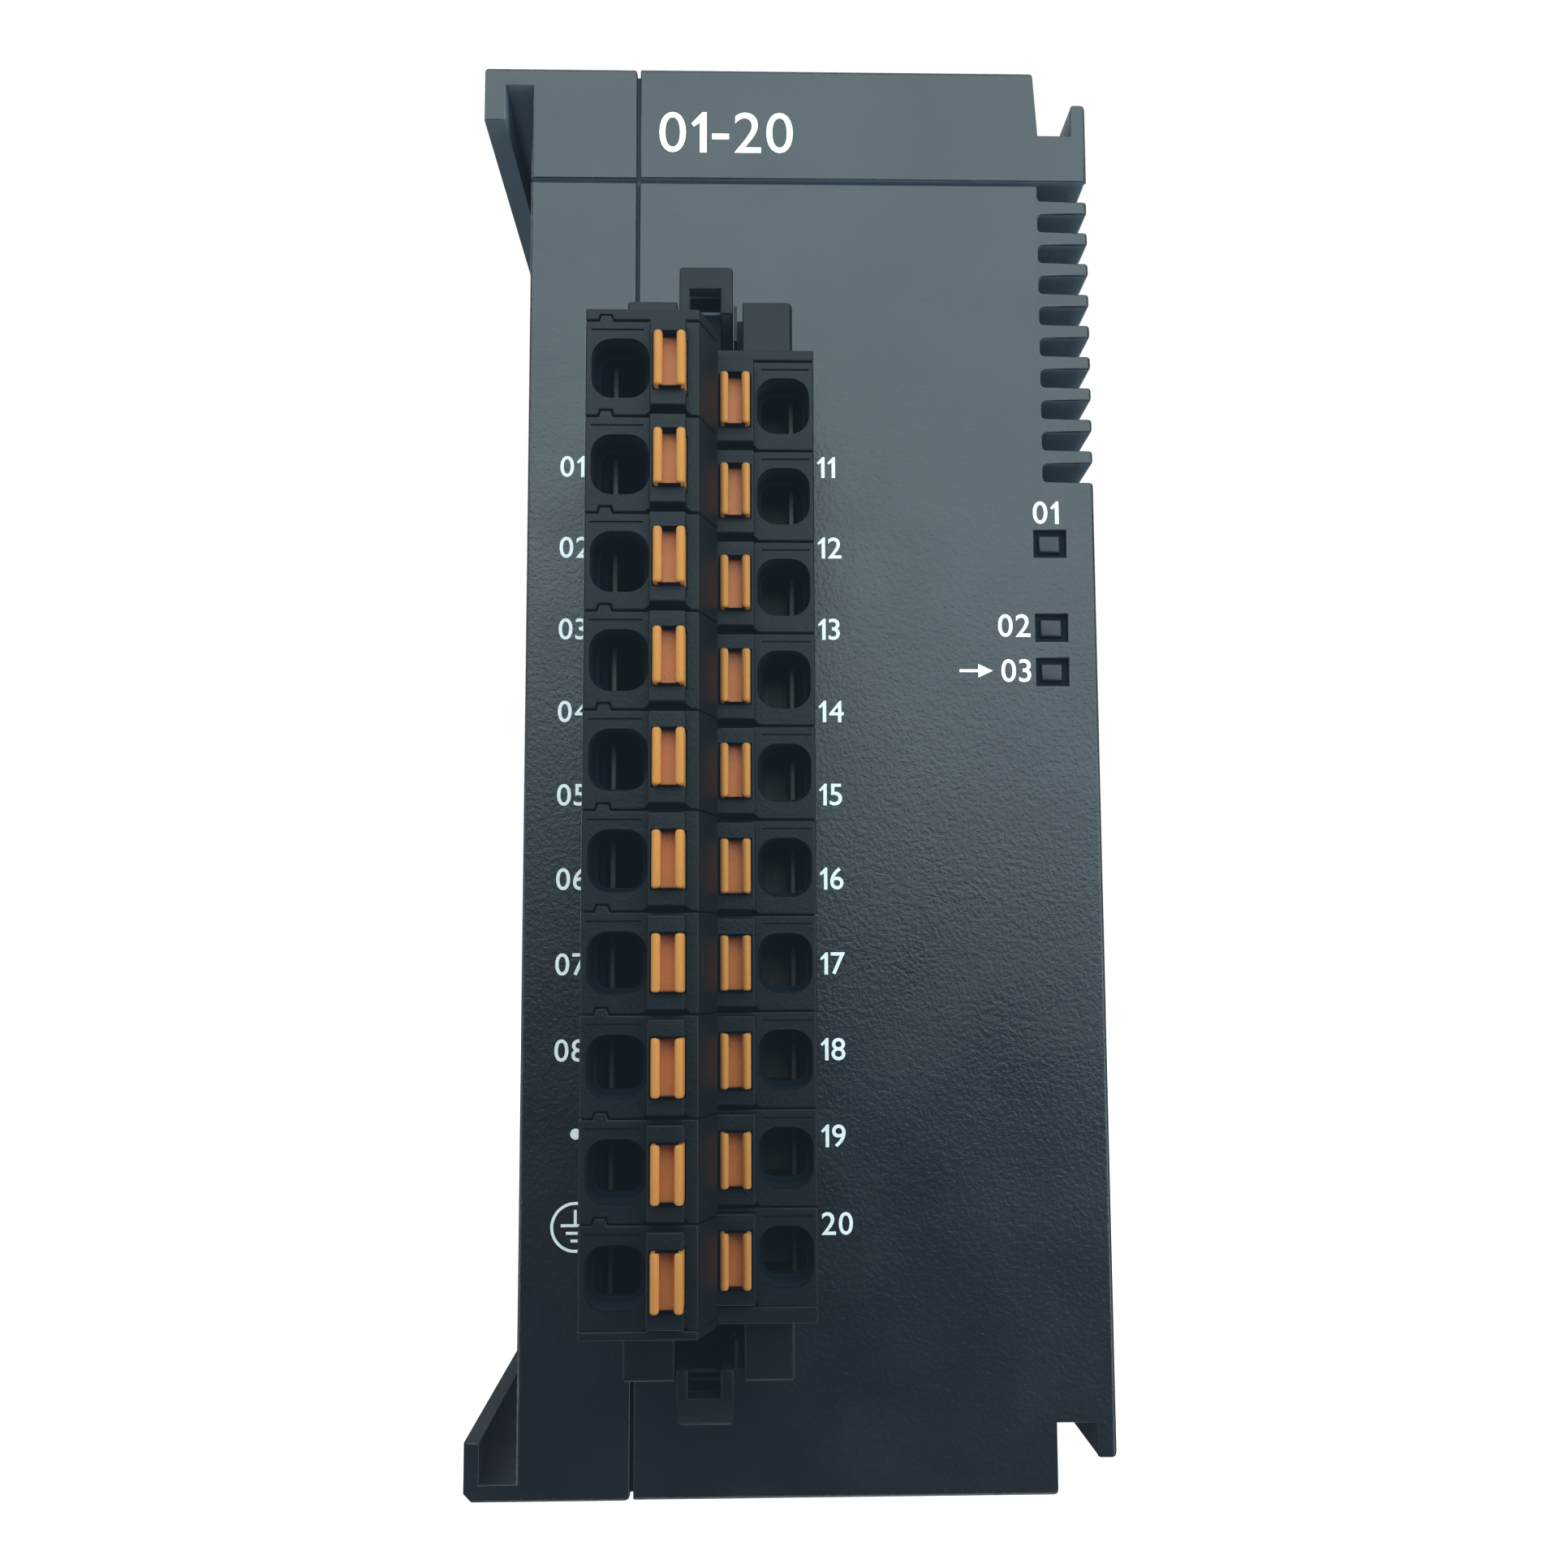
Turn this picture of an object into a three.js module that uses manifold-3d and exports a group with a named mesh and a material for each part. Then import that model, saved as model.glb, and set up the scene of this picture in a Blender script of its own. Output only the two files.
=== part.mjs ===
// A DIN-rail expansion module with a removable two-row spring-clamp terminal plug.
// Millimetres. X right, Z up, the front face looks along -Y.
// The origin is at mid width and mid height, on the plane that bears on the front of the rail.
import * as THREE from "three";
import { mergeVertices } from "three/addons/utils/BufferGeometryUtils.js";
import Module from "manifold-3d";

const wasm = await Module();
wasm.setup();

// ---- driving dimensions ----

const WIDTH = 35;
const HEIGHT = 87.2;
const DEPTH = 75;
const WALL = 1.8;
const LEFT = -WIDTH / 2;
const RIGHT = WIDTH / 2;
const TOP = HEIGHT / 2;
const BOTTOM = -HEIGHT / 2;
const RAIL_DEPTH = 7;
const BACK = RAIL_DEPTH;
const FRONT = BACK - DEPTH;
const CLEARANCE = 0.1;

// The split between the left cover and the main housing
const SEAM_X = -10.8;
const SEAM_HALF_GAP = 0.1;

// The cap line that runs across the front
const CAP_GROOVE = { z: 36.4, height: 0.36, depth: 0.5 };

// 35 mm top-hat rail seat, cut across the back: the rail's front bears on the plane y = 0
const RAIL = { top: 17.8, bottom: -18.2, lipInner: 1.3, lipOuter: 3.5, lipReach: 2.3 };
const SEAT_WALL = 2;
const SEAT_RELIEF = { depth: 0.3, margin: 0.3 };

// Side rails: a hook on the left cover slides into the channel of the module on its left
const HOOK = {
  outer: -20.5,
  barTop: 1.2,
  barBottom: 1.0,
  lipTop: 1.28,
  lipBottom: 0.9,
  dropTop: 3.5,
  dropBottom: 3.35,
  chamfer: 0.5,
};
const CHANNEL_TOP = { from: 14.2, to: 16.55, floor: TOP - 4.2, postTop: TOP - 2.15 };
const CHANNEL_BOTTOM = { from: 14.0, to: 16.3, ceiling: BOTTOM + 4.1, postEnd: BOTTOM + 2.1 };

// Vent comb at the right front edge
const COMB = { count: 10, pitch: 2.02, slot: 1.2, from: 14.3, depth: 6, top: 36.4, cornerRadius: 0.25 };

// Indicator windows
const LAMP_X = 14.67;
const LAMP_Z = [12.95, 7.68, 4.93];
const LAMP = {
  recessWidth: 2.0,
  recessHeight: 1.7,
  recessDepth: 0.5,
  lensWidth: 1.15,
  lensHeight: 0.95,
};

// Terminal plug: ten slices, each with an upper (left) and a lower (right) pole
const ROWS = 10;
const PITCH = 5.08;
const PLUG_CENTRE_Z = -5.14;
const SLICE_GAP = 0.06;
const PLUG = {
  left: -12.45,
  right: -0.42,
  skirt: 2.4,
  spigotLeft: -9.4,
  spigotRight: -2.9,
  spigotEnd: -1.6,
  topPlate: 0.64,
  bottomPlate: 0.46,
};
const UPPER = {
  name: "upper",
  face: 17.3,
  turret: 18.4,
  turretFrom: -9.08,
  turretTo: -7.23,
  holeX: -10.63,
  holeWidth: 3.0,
  holeHeight: 3.16,
  pusherX: -8.05,
  pusherTop: 19.06,
  pocketFrom: -11.5,
  pocketTo: -6.75,
  pocketTop: 14.3,
  barX: -11.25,
  pinX: -7.8,
  outward: -1,
};
const LOWER = {
  name: "lower",
  face: 11.5,
  turret: 12.4,
  turretFrom: -5.7,
  turretTo: -3.71,
  holeX: -2.11,
  holeWidth: 2.9,
  holeHeight: 3.17,
  pusherX: -4.75,
  pusherTop: 13.1,
  pocketFrom: -5.95,
  pocketTo: -1.2,
  pocketTop: 8.4,
  barX: -1.4,
  pinX: -4.5,
  outward: 1,
};
const SLOPE = { from: -6.57, to: -5.7, foot: 14.3 };
const PUSHER = { width: 1.62, height: 2.88, rail: 0.5, channelDepth: 1.1, length: 4.6, endRadius: 0.24 };
const PUSHER_CLEARANCE = 0.08;
const PUSHER_TRAVEL = 1.5;

// A lip under the lower block's floor, clear of the header
const FLOOR_LIP = { height: 0.42, foot: 8.6 };

// Socket header on the front board
const HEADER = { left: -10.9, right: -1.45, top: 24.9, bottom: -35.1, front: 8, sideWall: 2, radius: 0.8 };
const HEADER_BODY = { left: -10.5, right: -1.65, back: -8.6, inset: 0.4 };
const SOCKET = { left: -9.65, right: -2.65, floor: -3.4, endGap: 0.3 };
const PIN = { size: 0.8, tip: 4.2, tail: -10.9 };

// Latch levers at both ends of the header; distances run outwards from the plug's end
const LEVER = {
  left: -7.94,
  right: -4.86,
  padTip: 6.25,
  padFrom: 3.3,
  padThickness: 1.3,
  tipRadius: 0.4,
  windowFrom: 3.75,
  windowTo: 4.9,
  windowLeft: -7.34,
  windowRight: -5.66,
  pivot: 2.55,
  pivotHeight: 1.6,
  hubRadius: 1.1,
  pinRadius: 0.6,
  pinLength: 0.75,
};
const LEVER_CHANNEL = { left: -8.05, right: -4.3, floor: 0.3 };

// Boards and what is soldered to them
const FRONT_BOARD = { left: -15.2, right: 15.2, top: 37, bottom: -37.5, front: -8.9, thickness: 1.6 };
const LAMP_CHIP = { left: 0.6, right: 0.5, height: 0.8, thickness: 0.7 };
const DRIVER_CHIP = { left: 3.5, right: 10.5, height: 8, thickness: 1.7, z: [26, 14, -14] };
const CONVERTER = { left: 6, right: 14, bottom: -34, top: -22, thickness: 7 };
const MAIN_BOARD = { left: -14.6, right: 13.2, z: -1.6, thickness: 1.6, front: -57, back: -7 };
const PROCESSOR = { left: -4, right: 6, front: -49, back: -39, thickness: 1.4 };
const CAPACITOR = { x: -8, y: -43, radius: 3.1, height: 7 };
const COIL = { left: -3, right: 4, front: -31, back: -24, height: 4.2 };
const BUS = { from: -33, to: -19, height: 6, length: 5, plugTip: -19.8, socketFace: 15, gap: 0.25 };
const BUS_TONGUE = { low: 1.8, high: 4.2, inset: 1, depth: 3, play: 0.4 };

// The strip behind the lamp windows, by its depth behind the front face
const LIGHT_STRIP = { front: 5.6, back: 7.4, left: 1.3, right: 0.7, beyond: 0.8 };

// Sliding clip that grips the rail from below
const CLIP = {
  halfWidth: 6.8,
  tongueHalfWidth: 4.4,
  front: 1.3,
  step: 3.6,
  back: 6.5,
  nose: -15.9,
  bottom: BOTTOM + 0.3,
  noseRoot: 2,
  shoulder: 1.2,
  toolSlot: { halfWidth: 2.6, from: 1.6, to: 3 },
  grip: { rises: [5, 6.4, 7.8], height: 0.7, depth: 0.4 },
  springGap: { centre: 5.6, width: 1, from: 4, to: 4 },
};

const rows = Array.from({ length: ROWS }, (_, row) => row);
const rowZ = (row) => PLUG_CENTRE_Z + ((ROWS - 1) / 2 - row) * PITCH;
const PLUG_TOP = rowZ(0) + PITCH / 2 + PLUG.topPlate;
const PLUG_BOTTOM = rowZ(ROWS - 1) - PITCH / 2 - PLUG.bottomPlate;

// ---- materials ----

const plastic = (colour, roughness) =>
  new THREE.MeshStandardMaterial({ color: colour, roughness, metalness: 0 });
const metal = (colour, roughness) =>
  new THREE.MeshStandardMaterial({ color: colour, roughness, metalness: 1 });

const finishes = {
  housing: () => plastic(0x47545c, 0.62),
  plug: () => plastic(0x23292d, 0.5),
  header: () => plastic(0x2b3237, 0.55),
  pusher: () => plastic(0xd8893a, 0.42),
  clamp: () => metal(0xb9b4a8, 0.3),
  board: () => plastic(0x1f5a3c, 0.5),
  lens: () => plastic(0x8fa0a6, 0.25),
  clip: () => plastic(0x2f363b, 0.55),
};

// ---- solids ----

// three.js geometry to a closed solid
function solidOf(geometry) {
  const bare = geometry.clone();
  bare.deleteAttribute("normal");
  bare.deleteAttribute("uv");
  const merged = mergeVertices(bare, 1e-4);
  const mesh = new wasm.Mesh({
    numProp: 3,
    vertProperties: merged.attributes.position.array,
    triVerts: new Uint32Array(merged.index.array),
  });
  return new wasm.Manifold(mesh);
}

function geometryOf(solid) {
  const { vertProperties, triVerts } = solid.getMesh();
  const indexed = new THREE.BufferGeometry();
  indexed.setAttribute("position", new THREE.BufferAttribute(vertProperties, 3));
  indexed.setIndex(new THREE.BufferAttribute(triVerts, 1));
  const faceted = indexed.toNonIndexed();
  faceted.computeVertexNormals();
  return faceted;
}

const join = (first, ...rest) => rest.reduce((sum, next) => sum.add(next), first);
const cut = (first, ...rest) => rest.reduce((left, tool) => left.subtract(tool), first);

// A block between two corners
function block(x0, x1, y0, y1, z0, z1) {
  const geometry = new THREE.BoxGeometry(x1 - x0, y1 - y0, z1 - z0);
  geometry.translate((x0 + x1) / 2, (y0 + y1) / 2, (z0 + z1) / 2);
  return solidOf(geometry);
}

// An outline swept along one axis. The outline's own axes are (y, z), (x, z) or (x, y).
const SWEEP = {
  x: { u: [0, 1, 0], v: [0, 0, 1], w: [1, 0, 0] },
  y: { u: [1, 0, 0], v: [0, 0, 1], w: [0, -1, 0] },
  z: { u: [1, 0, 0], v: [0, 1, 0], w: [0, 0, 1] },
};

function prism(axis, outline, from, to) {
  const points = outline.map(([u, v]) => new THREE.Vector2(u, v));
  const options = { depth: to - from, bevelEnabled: false, steps: 1 };
  const geometry = new THREE.ExtrudeGeometry(new THREE.Shape(points), options);
  const { u, v, w } = SWEEP[axis];
  const turn = new THREE.Matrix4().makeBasis(
    new THREE.Vector3(...u),
    new THREE.Vector3(...v),
    new THREE.Vector3(...w),
  );
  geometry.applyMatrix4(turn);
  const start = axis === "y" ? to : from;
  const sign = axis === "y" ? -1 : 1;
  geometry.translate(w[0] * start, w[1] * start * sign, w[2] * start);
  return solidOf(geometry);
}

// Points along an arc, both ends included
function arc(cu, cv, radius, startDeg, endDeg, steps) {
  return Array.from({ length: steps + 1 }, (_, i) => {
    const angle = THREE.MathUtils.degToRad(startDeg + ((endDeg - startDeg) * i) / steps);
    return [cu + radius * Math.cos(angle), cv + radius * Math.sin(angle)];
  });
}

function circle(cu, cv, radius, sides) {
  return arc(cu, cv, radius, 0, 360, sides).slice(0, -1);
}

// A rectangle with rounded corners
function roundedRect(cu, cv, width, height, radius, steps = 4) {
  const du = width / 2 - radius;
  const dv = height / 2 - radius;
  return [
    ...arc(cu + du, cv + dv, radius, 0, 90, steps),
    ...arc(cu - du, cv + dv, radius, 90, 180, steps),
    ...arc(cu - du, cv - dv, radius, 180, 270, steps),
    ...arc(cu + du, cv - dv, radius, 270, 360, steps),
  ];
}

function piece(name, solid, material) {
  const mesh = new THREE.Mesh(geometryOf(solid), material);
  mesh.name = name;
  return mesh;
}

// ---- housing shells ----

const ROOM = { left: LEFT + WALL, right: RIGHT - WALL, bottom: BOTTOM + WALL, top: TOP - WALL };

// The rail seat in section (y, z): a square channel whose top edge carries a fixed lip.
// Its floor drops back a little behind the lip and behind the clip's nose.
function railSeat(x0, x1) {
  const lipEnd = RAIL.top - RAIL.lipReach;
  const padTop = lipEnd - SEAT_RELIEF.margin;
  const padBottom = CLIP.nose + SEAT_RELIEF.margin;
  const outline = [
    [-SEAT_RELIEF.depth, RAIL.bottom],
    [BACK + 1, RAIL.bottom],
    [BACK + 1, RAIL.top],
    [RAIL.lipOuter, RAIL.top],
    [RAIL.lipOuter, lipEnd],
    [RAIL.lipInner, lipEnd],
    [RAIL.lipInner, RAIL.top],
    [-SEAT_RELIEF.depth, RAIL.top],
    [-SEAT_RELIEF.depth, padTop],
    [0, padTop],
    [0, padBottom],
    [-SEAT_RELIEF.depth, padBottom],
  ];
  return prism("x", outline, x0, x1);
}

function capGroove() {
  const { z, height, depth } = CAP_GROOVE;
  return block(LEFT - 1, RIGHT + 1, FRONT - 1, FRONT + depth, z - height / 2, z + height / 2);
}

// Snap tongues of the left cover and the windows in the main housing that take their barbs
const SNAP = {
  y: [-51, -9],
  width: 6,
  tip: -6.6,
  barbFrom: -8.4,
  barbTo: -7.1,
  barbHeight: 1.1,
  thickness: 1.2,
  gap: 0.25,
};
const BOTH_SIDES = [1, -1];

function snapWindow(y, side) {
  const inner = side * (ROOM.top - 0.5);
  const outer = side * (TOP + 1);
  const reach = SNAP.width / 2 + SNAP.gap;
  return block(
    SNAP.barbFrom - SNAP.gap,
    SNAP.barbTo + SNAP.gap,
    y - reach,
    y + reach,
    Math.min(inner, outer),
    Math.max(inner, outer),
  );
}

function snapTongue(y, side) {
  const face = ROOM.top - CLEARANCE;
  const root = ROOM.left - 0.2;
  const outline = [
    [root, face - SNAP.thickness],
    [SNAP.tip, face - SNAP.thickness],
    [SNAP.barbTo, face],
    [SNAP.barbFrom, face + SNAP.barbHeight],
    [SNAP.barbFrom, face],
    [root, face],
  ].map(([x, z]) => [x, side * z]);
  const counterClockwise = side > 0 ? outline : outline.reverse();
  return prism("y", counterClockwise, y - SNAP.width / 2, y + SNAP.width / 2);
}

const snaps = (make) => SNAP.y.flatMap((y) => BOTH_SIDES.map((side) => make(y, side)));

function sideChannels() {
  const top = CHANNEL_TOP;
  const low = CHANNEL_BOTTOM;
  const overlap = 0.5;
  return [
    block(top.from, top.to, FRONT - 1, BACK + 1, top.floor, TOP + 1),
    block(top.to - overlap, RIGHT + 1, FRONT - 1, BACK + 1, top.postTop, TOP + 1),
    block(low.from, low.to, FRONT - 1, BACK + 1, BOTTOM - 1, low.ceiling),
    block(low.to - overlap, RIGHT + 1, FRONT - 1, BACK + 1, BOTTOM - 1, low.postEnd),
  ];
}

function combSlots() {
  const { count, pitch, slot, from, depth, top, cornerRadius: r } = COMB;
  return Array.from({ length: count }, (_, i) => {
    const high = top - CAP_GROOVE.height / 2 - i * pitch;
    const low = high - slot;
    const outline = [
      [RIGHT + 1, low],
      [RIGHT + 1, high],
      ...arc(from + r, high - r, r, 90, 180, 2),
      ...arc(from + r, low + r, r, 180, 270, 2),
    ];
    return prism("y", outline, FRONT - 1, FRONT + depth);
  });
}

// A window centred on a lamp, from in front of the face down to the given depth
function lampOpening(z, width, height, depth) {
  const halfWidth = width / 2;
  const halfHeight = height / 2;
  return block(
    LAMP_X - halfWidth,
    LAMP_X + halfWidth,
    FRONT - 1,
    FRONT + depth,
    z - halfHeight,
    z + halfHeight,
  );
}

function lampWindows() {
  const { recessWidth, recessHeight, recessDepth, lensWidth, lensHeight } = LAMP;
  return LAMP_Z.flatMap((z) => [
    lampOpening(z, recessWidth, recessHeight, recessDepth),
    lampOpening(z, lensWidth + 2 * CLEARANCE, lensHeight + 2 * CLEARANCE, WALL + 1),
  ]);
}

// Cooling slots through the roof and the floor
const ROOF_SLOT = { count: 6, first: -5.5, pitch: 2.9, width: 1.5, from: -45, to: -23 };

function roofSlots() {
  const { count, first, pitch, width, from, to } = ROOF_SLOT;
  const endRadius = width / 2 - 0.01;
  return Array.from({ length: count }, (_, i) => {
    const outline = roundedRect(first + i * pitch, (from + to) / 2, width, to - from, endRadius, 3);
    return prism("z", outline, BOTTOM - 1, TOP + 1);
  });
}

// The clip's guide: a wide pocket behind a narrower opening, so that the clip can't fall out
function clipGuide() {
  const play = 0.2;
  const wide = CLIP.halfWidth + play;
  const narrow = CLIP.tongueHalfWidth + play;
  return [
    block(-wide, wide, CLIP.front - play, CLIP.step + play, BOTTOM - 1, RAIL.bottom + 1),
    block(-narrow, narrow, CLIP.step - 0.5, BACK + 1, BOTTOM - 1, RAIL.bottom + 1),
  ];
}

// The open-backed trough on the right side that a neighbour's bus plug slides along
const TROUGH = {
  low: MAIN_BOARD.z + MAIN_BOARD.thickness - 0.8,
  high: MAIN_BOARD.z + MAIN_BOARD.thickness + BUS.height + 0.8,
  front: BUS.from - 2,
  wall: 1.6,
};

function busTrough() {
  return block(BUS.socketFace, RIGHT + 1, TROUGH.front, BACK + 1, TROUGH.low, TROUGH.high);
}

// The opening round a bus connector, from x0 to x1
function busOpening(x0, x1) {
  const base = MAIN_BOARD.z + MAIN_BOARD.thickness;
  return block(
    x0,
    x1,
    BUS.from - BUS.gap,
    BUS.to + BUS.gap,
    base - BUS.gap,
    base + BUS.height + BUS.gap,
  );
}

// The hollow of the main housing, kept clear of the side channels, the comb and the trough
function mainCavity() {
  const start = SEAM_X - 2;
  const wall = 1.6;
  const beside = CHANNEL_BOTTOM.from - wall;
  const outline = [
    [start, ROOM.bottom],
    [beside, ROOM.bottom],
    [beside, CHANNEL_BOTTOM.ceiling + wall],
    [ROOM.right, CHANNEL_BOTTOM.ceiling + wall],
    [ROOM.right, CHANNEL_TOP.floor - wall],
    [beside, CHANNEL_TOP.floor - wall],
    [beside, ROOM.top],
    [start, ROOM.top],
  ];
  const hollow = prism("y", outline, FRONT + WALL, -SEAT_WALL);
  const aboveRail = block(start, beside, -SEAT_WALL - 1, BACK - WALL, RAIL.top + SEAT_WALL, ROOM.top);
  const combBacking = block(
    COMB.from - wall,
    RIGHT,
    FRONT,
    FRONT + COMB.depth + wall,
    COMB.top - COMB.count * COMB.pitch - 0.6,
    COMB.top + wall,
  );
  const troughBacking = block(
    BUS.socketFace - TROUGH.wall,
    RIGHT,
    TROUGH.front - TROUGH.wall,
    0,
    TROUGH.low - TROUGH.wall,
    TROUGH.high + TROUGH.wall,
  );
  return cut(join(hollow, aboveRail), combBacking, troughBacking);
}

function headerWindow() {
  const gap = 0.2;
  return block(
    SEAM_X - 1,
    HEADER_BODY.right + gap,
    FRONT - 1,
    FRONT + WALL + 1,
    HEADER.bottom + HEADER_BODY.inset - gap,
    HEADER.top - HEADER_BODY.inset + gap,
  );
}

function mainHousing() {
  const shell = block(SEAM_X + SEAM_HALF_GAP, RIGHT, FRONT, BACK, BOTTOM, TOP);
  return cut(
    shell,
    mainCavity(),
    railSeat(SEAM_X - 1, RIGHT + 1),
    capGroove(),
    headerWindow(),
    busTrough(),
    busOpening(BUS.socketFace - TROUGH.wall - 1, RIGHT + 1),
    ...snaps(snapWindow),
    ...sideChannels(),
    ...combSlots(),
    ...lampWindows(),
    ...roofSlots(),
    ...clipGuide(),
  );
}

function sideHooks() {
  const { outer, barTop, barBottom, lipTop, lipBottom, dropTop, dropBottom, chamfer } = HOOK;
  const inside = LEFT + 0.5;
  const top = [
    [inside, TOP],
    [outer, TOP],
    [outer, TOP - dropTop],
    [outer + lipTop, TOP - dropTop],
    [outer + lipTop, TOP - barTop],
    [inside, TOP - barTop],
  ];
  const low = [
    [inside, BOTTOM],
    [inside, BOTTOM + barBottom],
    [outer + lipBottom, BOTTOM + barBottom],
    [outer + lipBottom, BOTTOM + dropBottom],
    [outer, BOTTOM + dropBottom],
    [outer, BOTTOM + chamfer],
    [outer + chamfer, BOTTOM],
  ];
  return [prism("y", top, FRONT, BACK), prism("y", low, FRONT, BACK)];
}

function leftCover() {
  const seam = SEAM_X - SEAM_HALF_GAP;
  const shell = block(LEFT, seam, FRONT, BACK, BOTTOM, TOP);
  const hollow = block(ROOM.left, seam + 1, FRONT + WALL, -SEAT_WALL, ROOM.bottom, ROOM.top);
  const rear = { from: -SEAT_WALL - 1, to: BACK - WALL };
  const aboveRail = block(ROOM.left, seam + 1, rear.from, rear.to, RAIL.top + SEAT_WALL, ROOM.top);
  const belowRail = block(ROOM.left, seam + 1, rear.from, rear.to, ROOM.bottom, RAIL.bottom - SEAT_WALL);
  const shellCut = cut(
    shell,
    hollow,
    aboveRail,
    belowRail,
    railSeat(LEFT - 1, seam + 1),
    capGroove(),
    busOpening(LEFT - 1, ROOM.left + 1),
  );
  return join(shellCut, ...sideHooks(), ...snaps(snapTongue));
}

// ---- terminal header and its latch levers ----

// The plane of height h above the front face
const above = (h) => FRONT - h;

function leverChannel(end, outwards) {
  const { left, right, floor } = LEVER_CHANNEL;
  const z0 = end - outwards;
  const z1 = end + outwards * 8;
  return block(left, right, above(HEADER.front + 1), above(floor), Math.min(z0, z1), Math.max(z0, z1));
}

function leverBore(end, outwards) {
  const z = end + outwards * LEVER.pivot;
  const reach = LEVER.pinLength + 0.15;
  const bore = circle(above(LEVER.pivotHeight), z, LEVER.pinRadius + CLEARANCE, 16);
  return prism("x", bore, LEVER.left - reach, LEVER.right + reach);
}

// A square bar for every pin of the header, between two heights above the front face
function pinGrid(size, tip, tail) {
  const half = size / 2;
  return rows.flatMap((row) =>
    [UPPER, LOWER].map(({ pinX }) =>
      block(pinX - half, pinX + half, above(tip), above(tail), rowZ(row) - half, rowZ(row) + half),
    ),
  );
}

function terminalHeader() {
  const { left, right, top, bottom, front, radius } = HEADER;
  const midX = (left + right) / 2;
  const midZ = (top + bottom) / 2;
  const collar = prism(
    "y",
    roundedRect(midX, midZ, right - left, top - bottom, radius),
    above(front),
    above(CLEARANCE),
  );
  const body = block(
    HEADER_BODY.left,
    HEADER_BODY.right,
    above(CLEARANCE + 0.5),
    above(HEADER_BODY.back),
    bottom + HEADER_BODY.inset,
    top - HEADER_BODY.inset,
  );
  const socket = block(
    SOCKET.left,
    SOCKET.right,
    above(front + 1),
    above(SOCKET.floor),
    PLUG_BOTTOM - SOCKET.endGap,
    PLUG_TOP + SOCKET.endGap,
  );
  // Between the two end blocks the collar is low, so that the plug can be wide
  const plugBay = block(
    left - 1,
    right + 1,
    above(front + 1),
    above(HEADER.sideWall),
    PLUG_BOTTOM - SOCKET.endGap,
    PLUG_TOP + SOCKET.endGap,
  );
  const shell = cut(
    join(collar, body),
    socket,
    plugBay,
    leverChannel(PLUG_TOP, 1),
    leverChannel(PLUG_BOTTOM, -1),
    leverBore(PLUG_TOP, 1),
    leverBore(PLUG_BOTTOM, -1),
  );
  return join(shell, ...pinGrid(PIN.size, PIN.tip, PIN.tail));
}

// A lever in side view (y, z): a round hub, a leaning leg and a finger pad that overhangs the header
function latchLever(end, outwards) {
  const at = (distance, h) => [above(h), end + outwards * distance];
  const { padTip, padFrom, tipRadius } = LEVER;
  const hub = arc(0, 0, LEVER.hubRadius, 180, 360, 6).map(([d, h]) =>
    at(LEVER.pivot + d, LEVER.pivotHeight + h),
  );
  const tipCorner = arc(padTip - tipRadius, HEADER.front - tipRadius, tipRadius, 0, 90, 3);
  const tip = tipCorner.map(([d, h]) => at(d, h));
  const padUnder = HEADER.front - LEVER.padThickness;
  const outline = [
    ...hub,
    at(4.5, padUnder - 0.2),
    at(padTip, padUnder),
    ...tip,
    at(padFrom, HEADER.front),
    at(padFrom - 0.35, padUnder),
  ];
  const profile = outwards > 0 ? outline.slice().reverse() : outline;
  const plate = prism("x", profile, LEVER.left, LEVER.right);
  const [, w0] = at(LEVER.windowFrom, 0);
  const [, w1] = at(LEVER.windowTo, 0);
  const window = block(
    LEVER.windowLeft,
    LEVER.windowRight,
    above(HEADER.front + 1),
    above(LEVER.pivotHeight + 1.6),
    Math.min(w0, w1),
    Math.max(w0, w1),
  );
  const pivotZ = end + outwards * LEVER.pivot;
  const pin = prism(
    "x",
    circle(above(LEVER.pivotHeight), pivotZ, LEVER.pinRadius, 16),
    LEVER.left - LEVER.pinLength,
    LEVER.right + LEVER.pinLength,
  );
  return join(cut(plate, window), pin);
}

// ---- terminal plug, one slice at a time, about the slice's own mid plane ----

const SLICE_HALF = (PITCH - SLICE_GAP) / 2;
const TAB = { from: -11.75, to: -11.0, rise: 0.34, depth: 2.2 };
const TURRET_TOP = 2.34;
const TURRET_FOOT = -2.3;

function sliceOutline() {
  const { left, right, skirt, spigotLeft, spigotRight, spigotEnd } = PLUG;
  return [
    [spigotLeft, spigotEnd],
    [spigotRight, spigotEnd],
    [spigotRight, skirt],
    [right, skirt],
    [right, LOWER.face],
    [SLOPE.to, LOWER.face],
    [SLOPE.to, SLOPE.foot],
    [SLOPE.from, UPPER.face],
    [left, UPPER.face],
    [left, skirt],
    [spigotLeft, skirt],
  ].map(([x, h]) => [x, above(h)]).reverse();
}

function turret(pole) {
  return block(
    pole.turretFrom,
    pole.turretTo,
    above(pole.turret),
    above(pole.face - 1),
    TURRET_FOOT,
    TURRET_TOP,
  );
}

// The dark bevelled gap between a turret's foot and the slice below
function footRecess(pole) {
  const flare = 0.25;
  const depth = 0.8;
  const outline = [
    [pole.turretFrom - flare, -SLICE_HALF - 1],
    [pole.turretTo + flare, -SLICE_HALF - 1],
    [pole.turretTo + flare, -SLICE_HALF],
    [pole.turretTo, TURRET_FOOT],
    [pole.turretFrom, TURRET_FOOT],
    [pole.turretFrom - flare, -SLICE_HALF],
  ];
  return prism("y", outline, above(pole.turret + 1), above(pole.face - depth));
}

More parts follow.
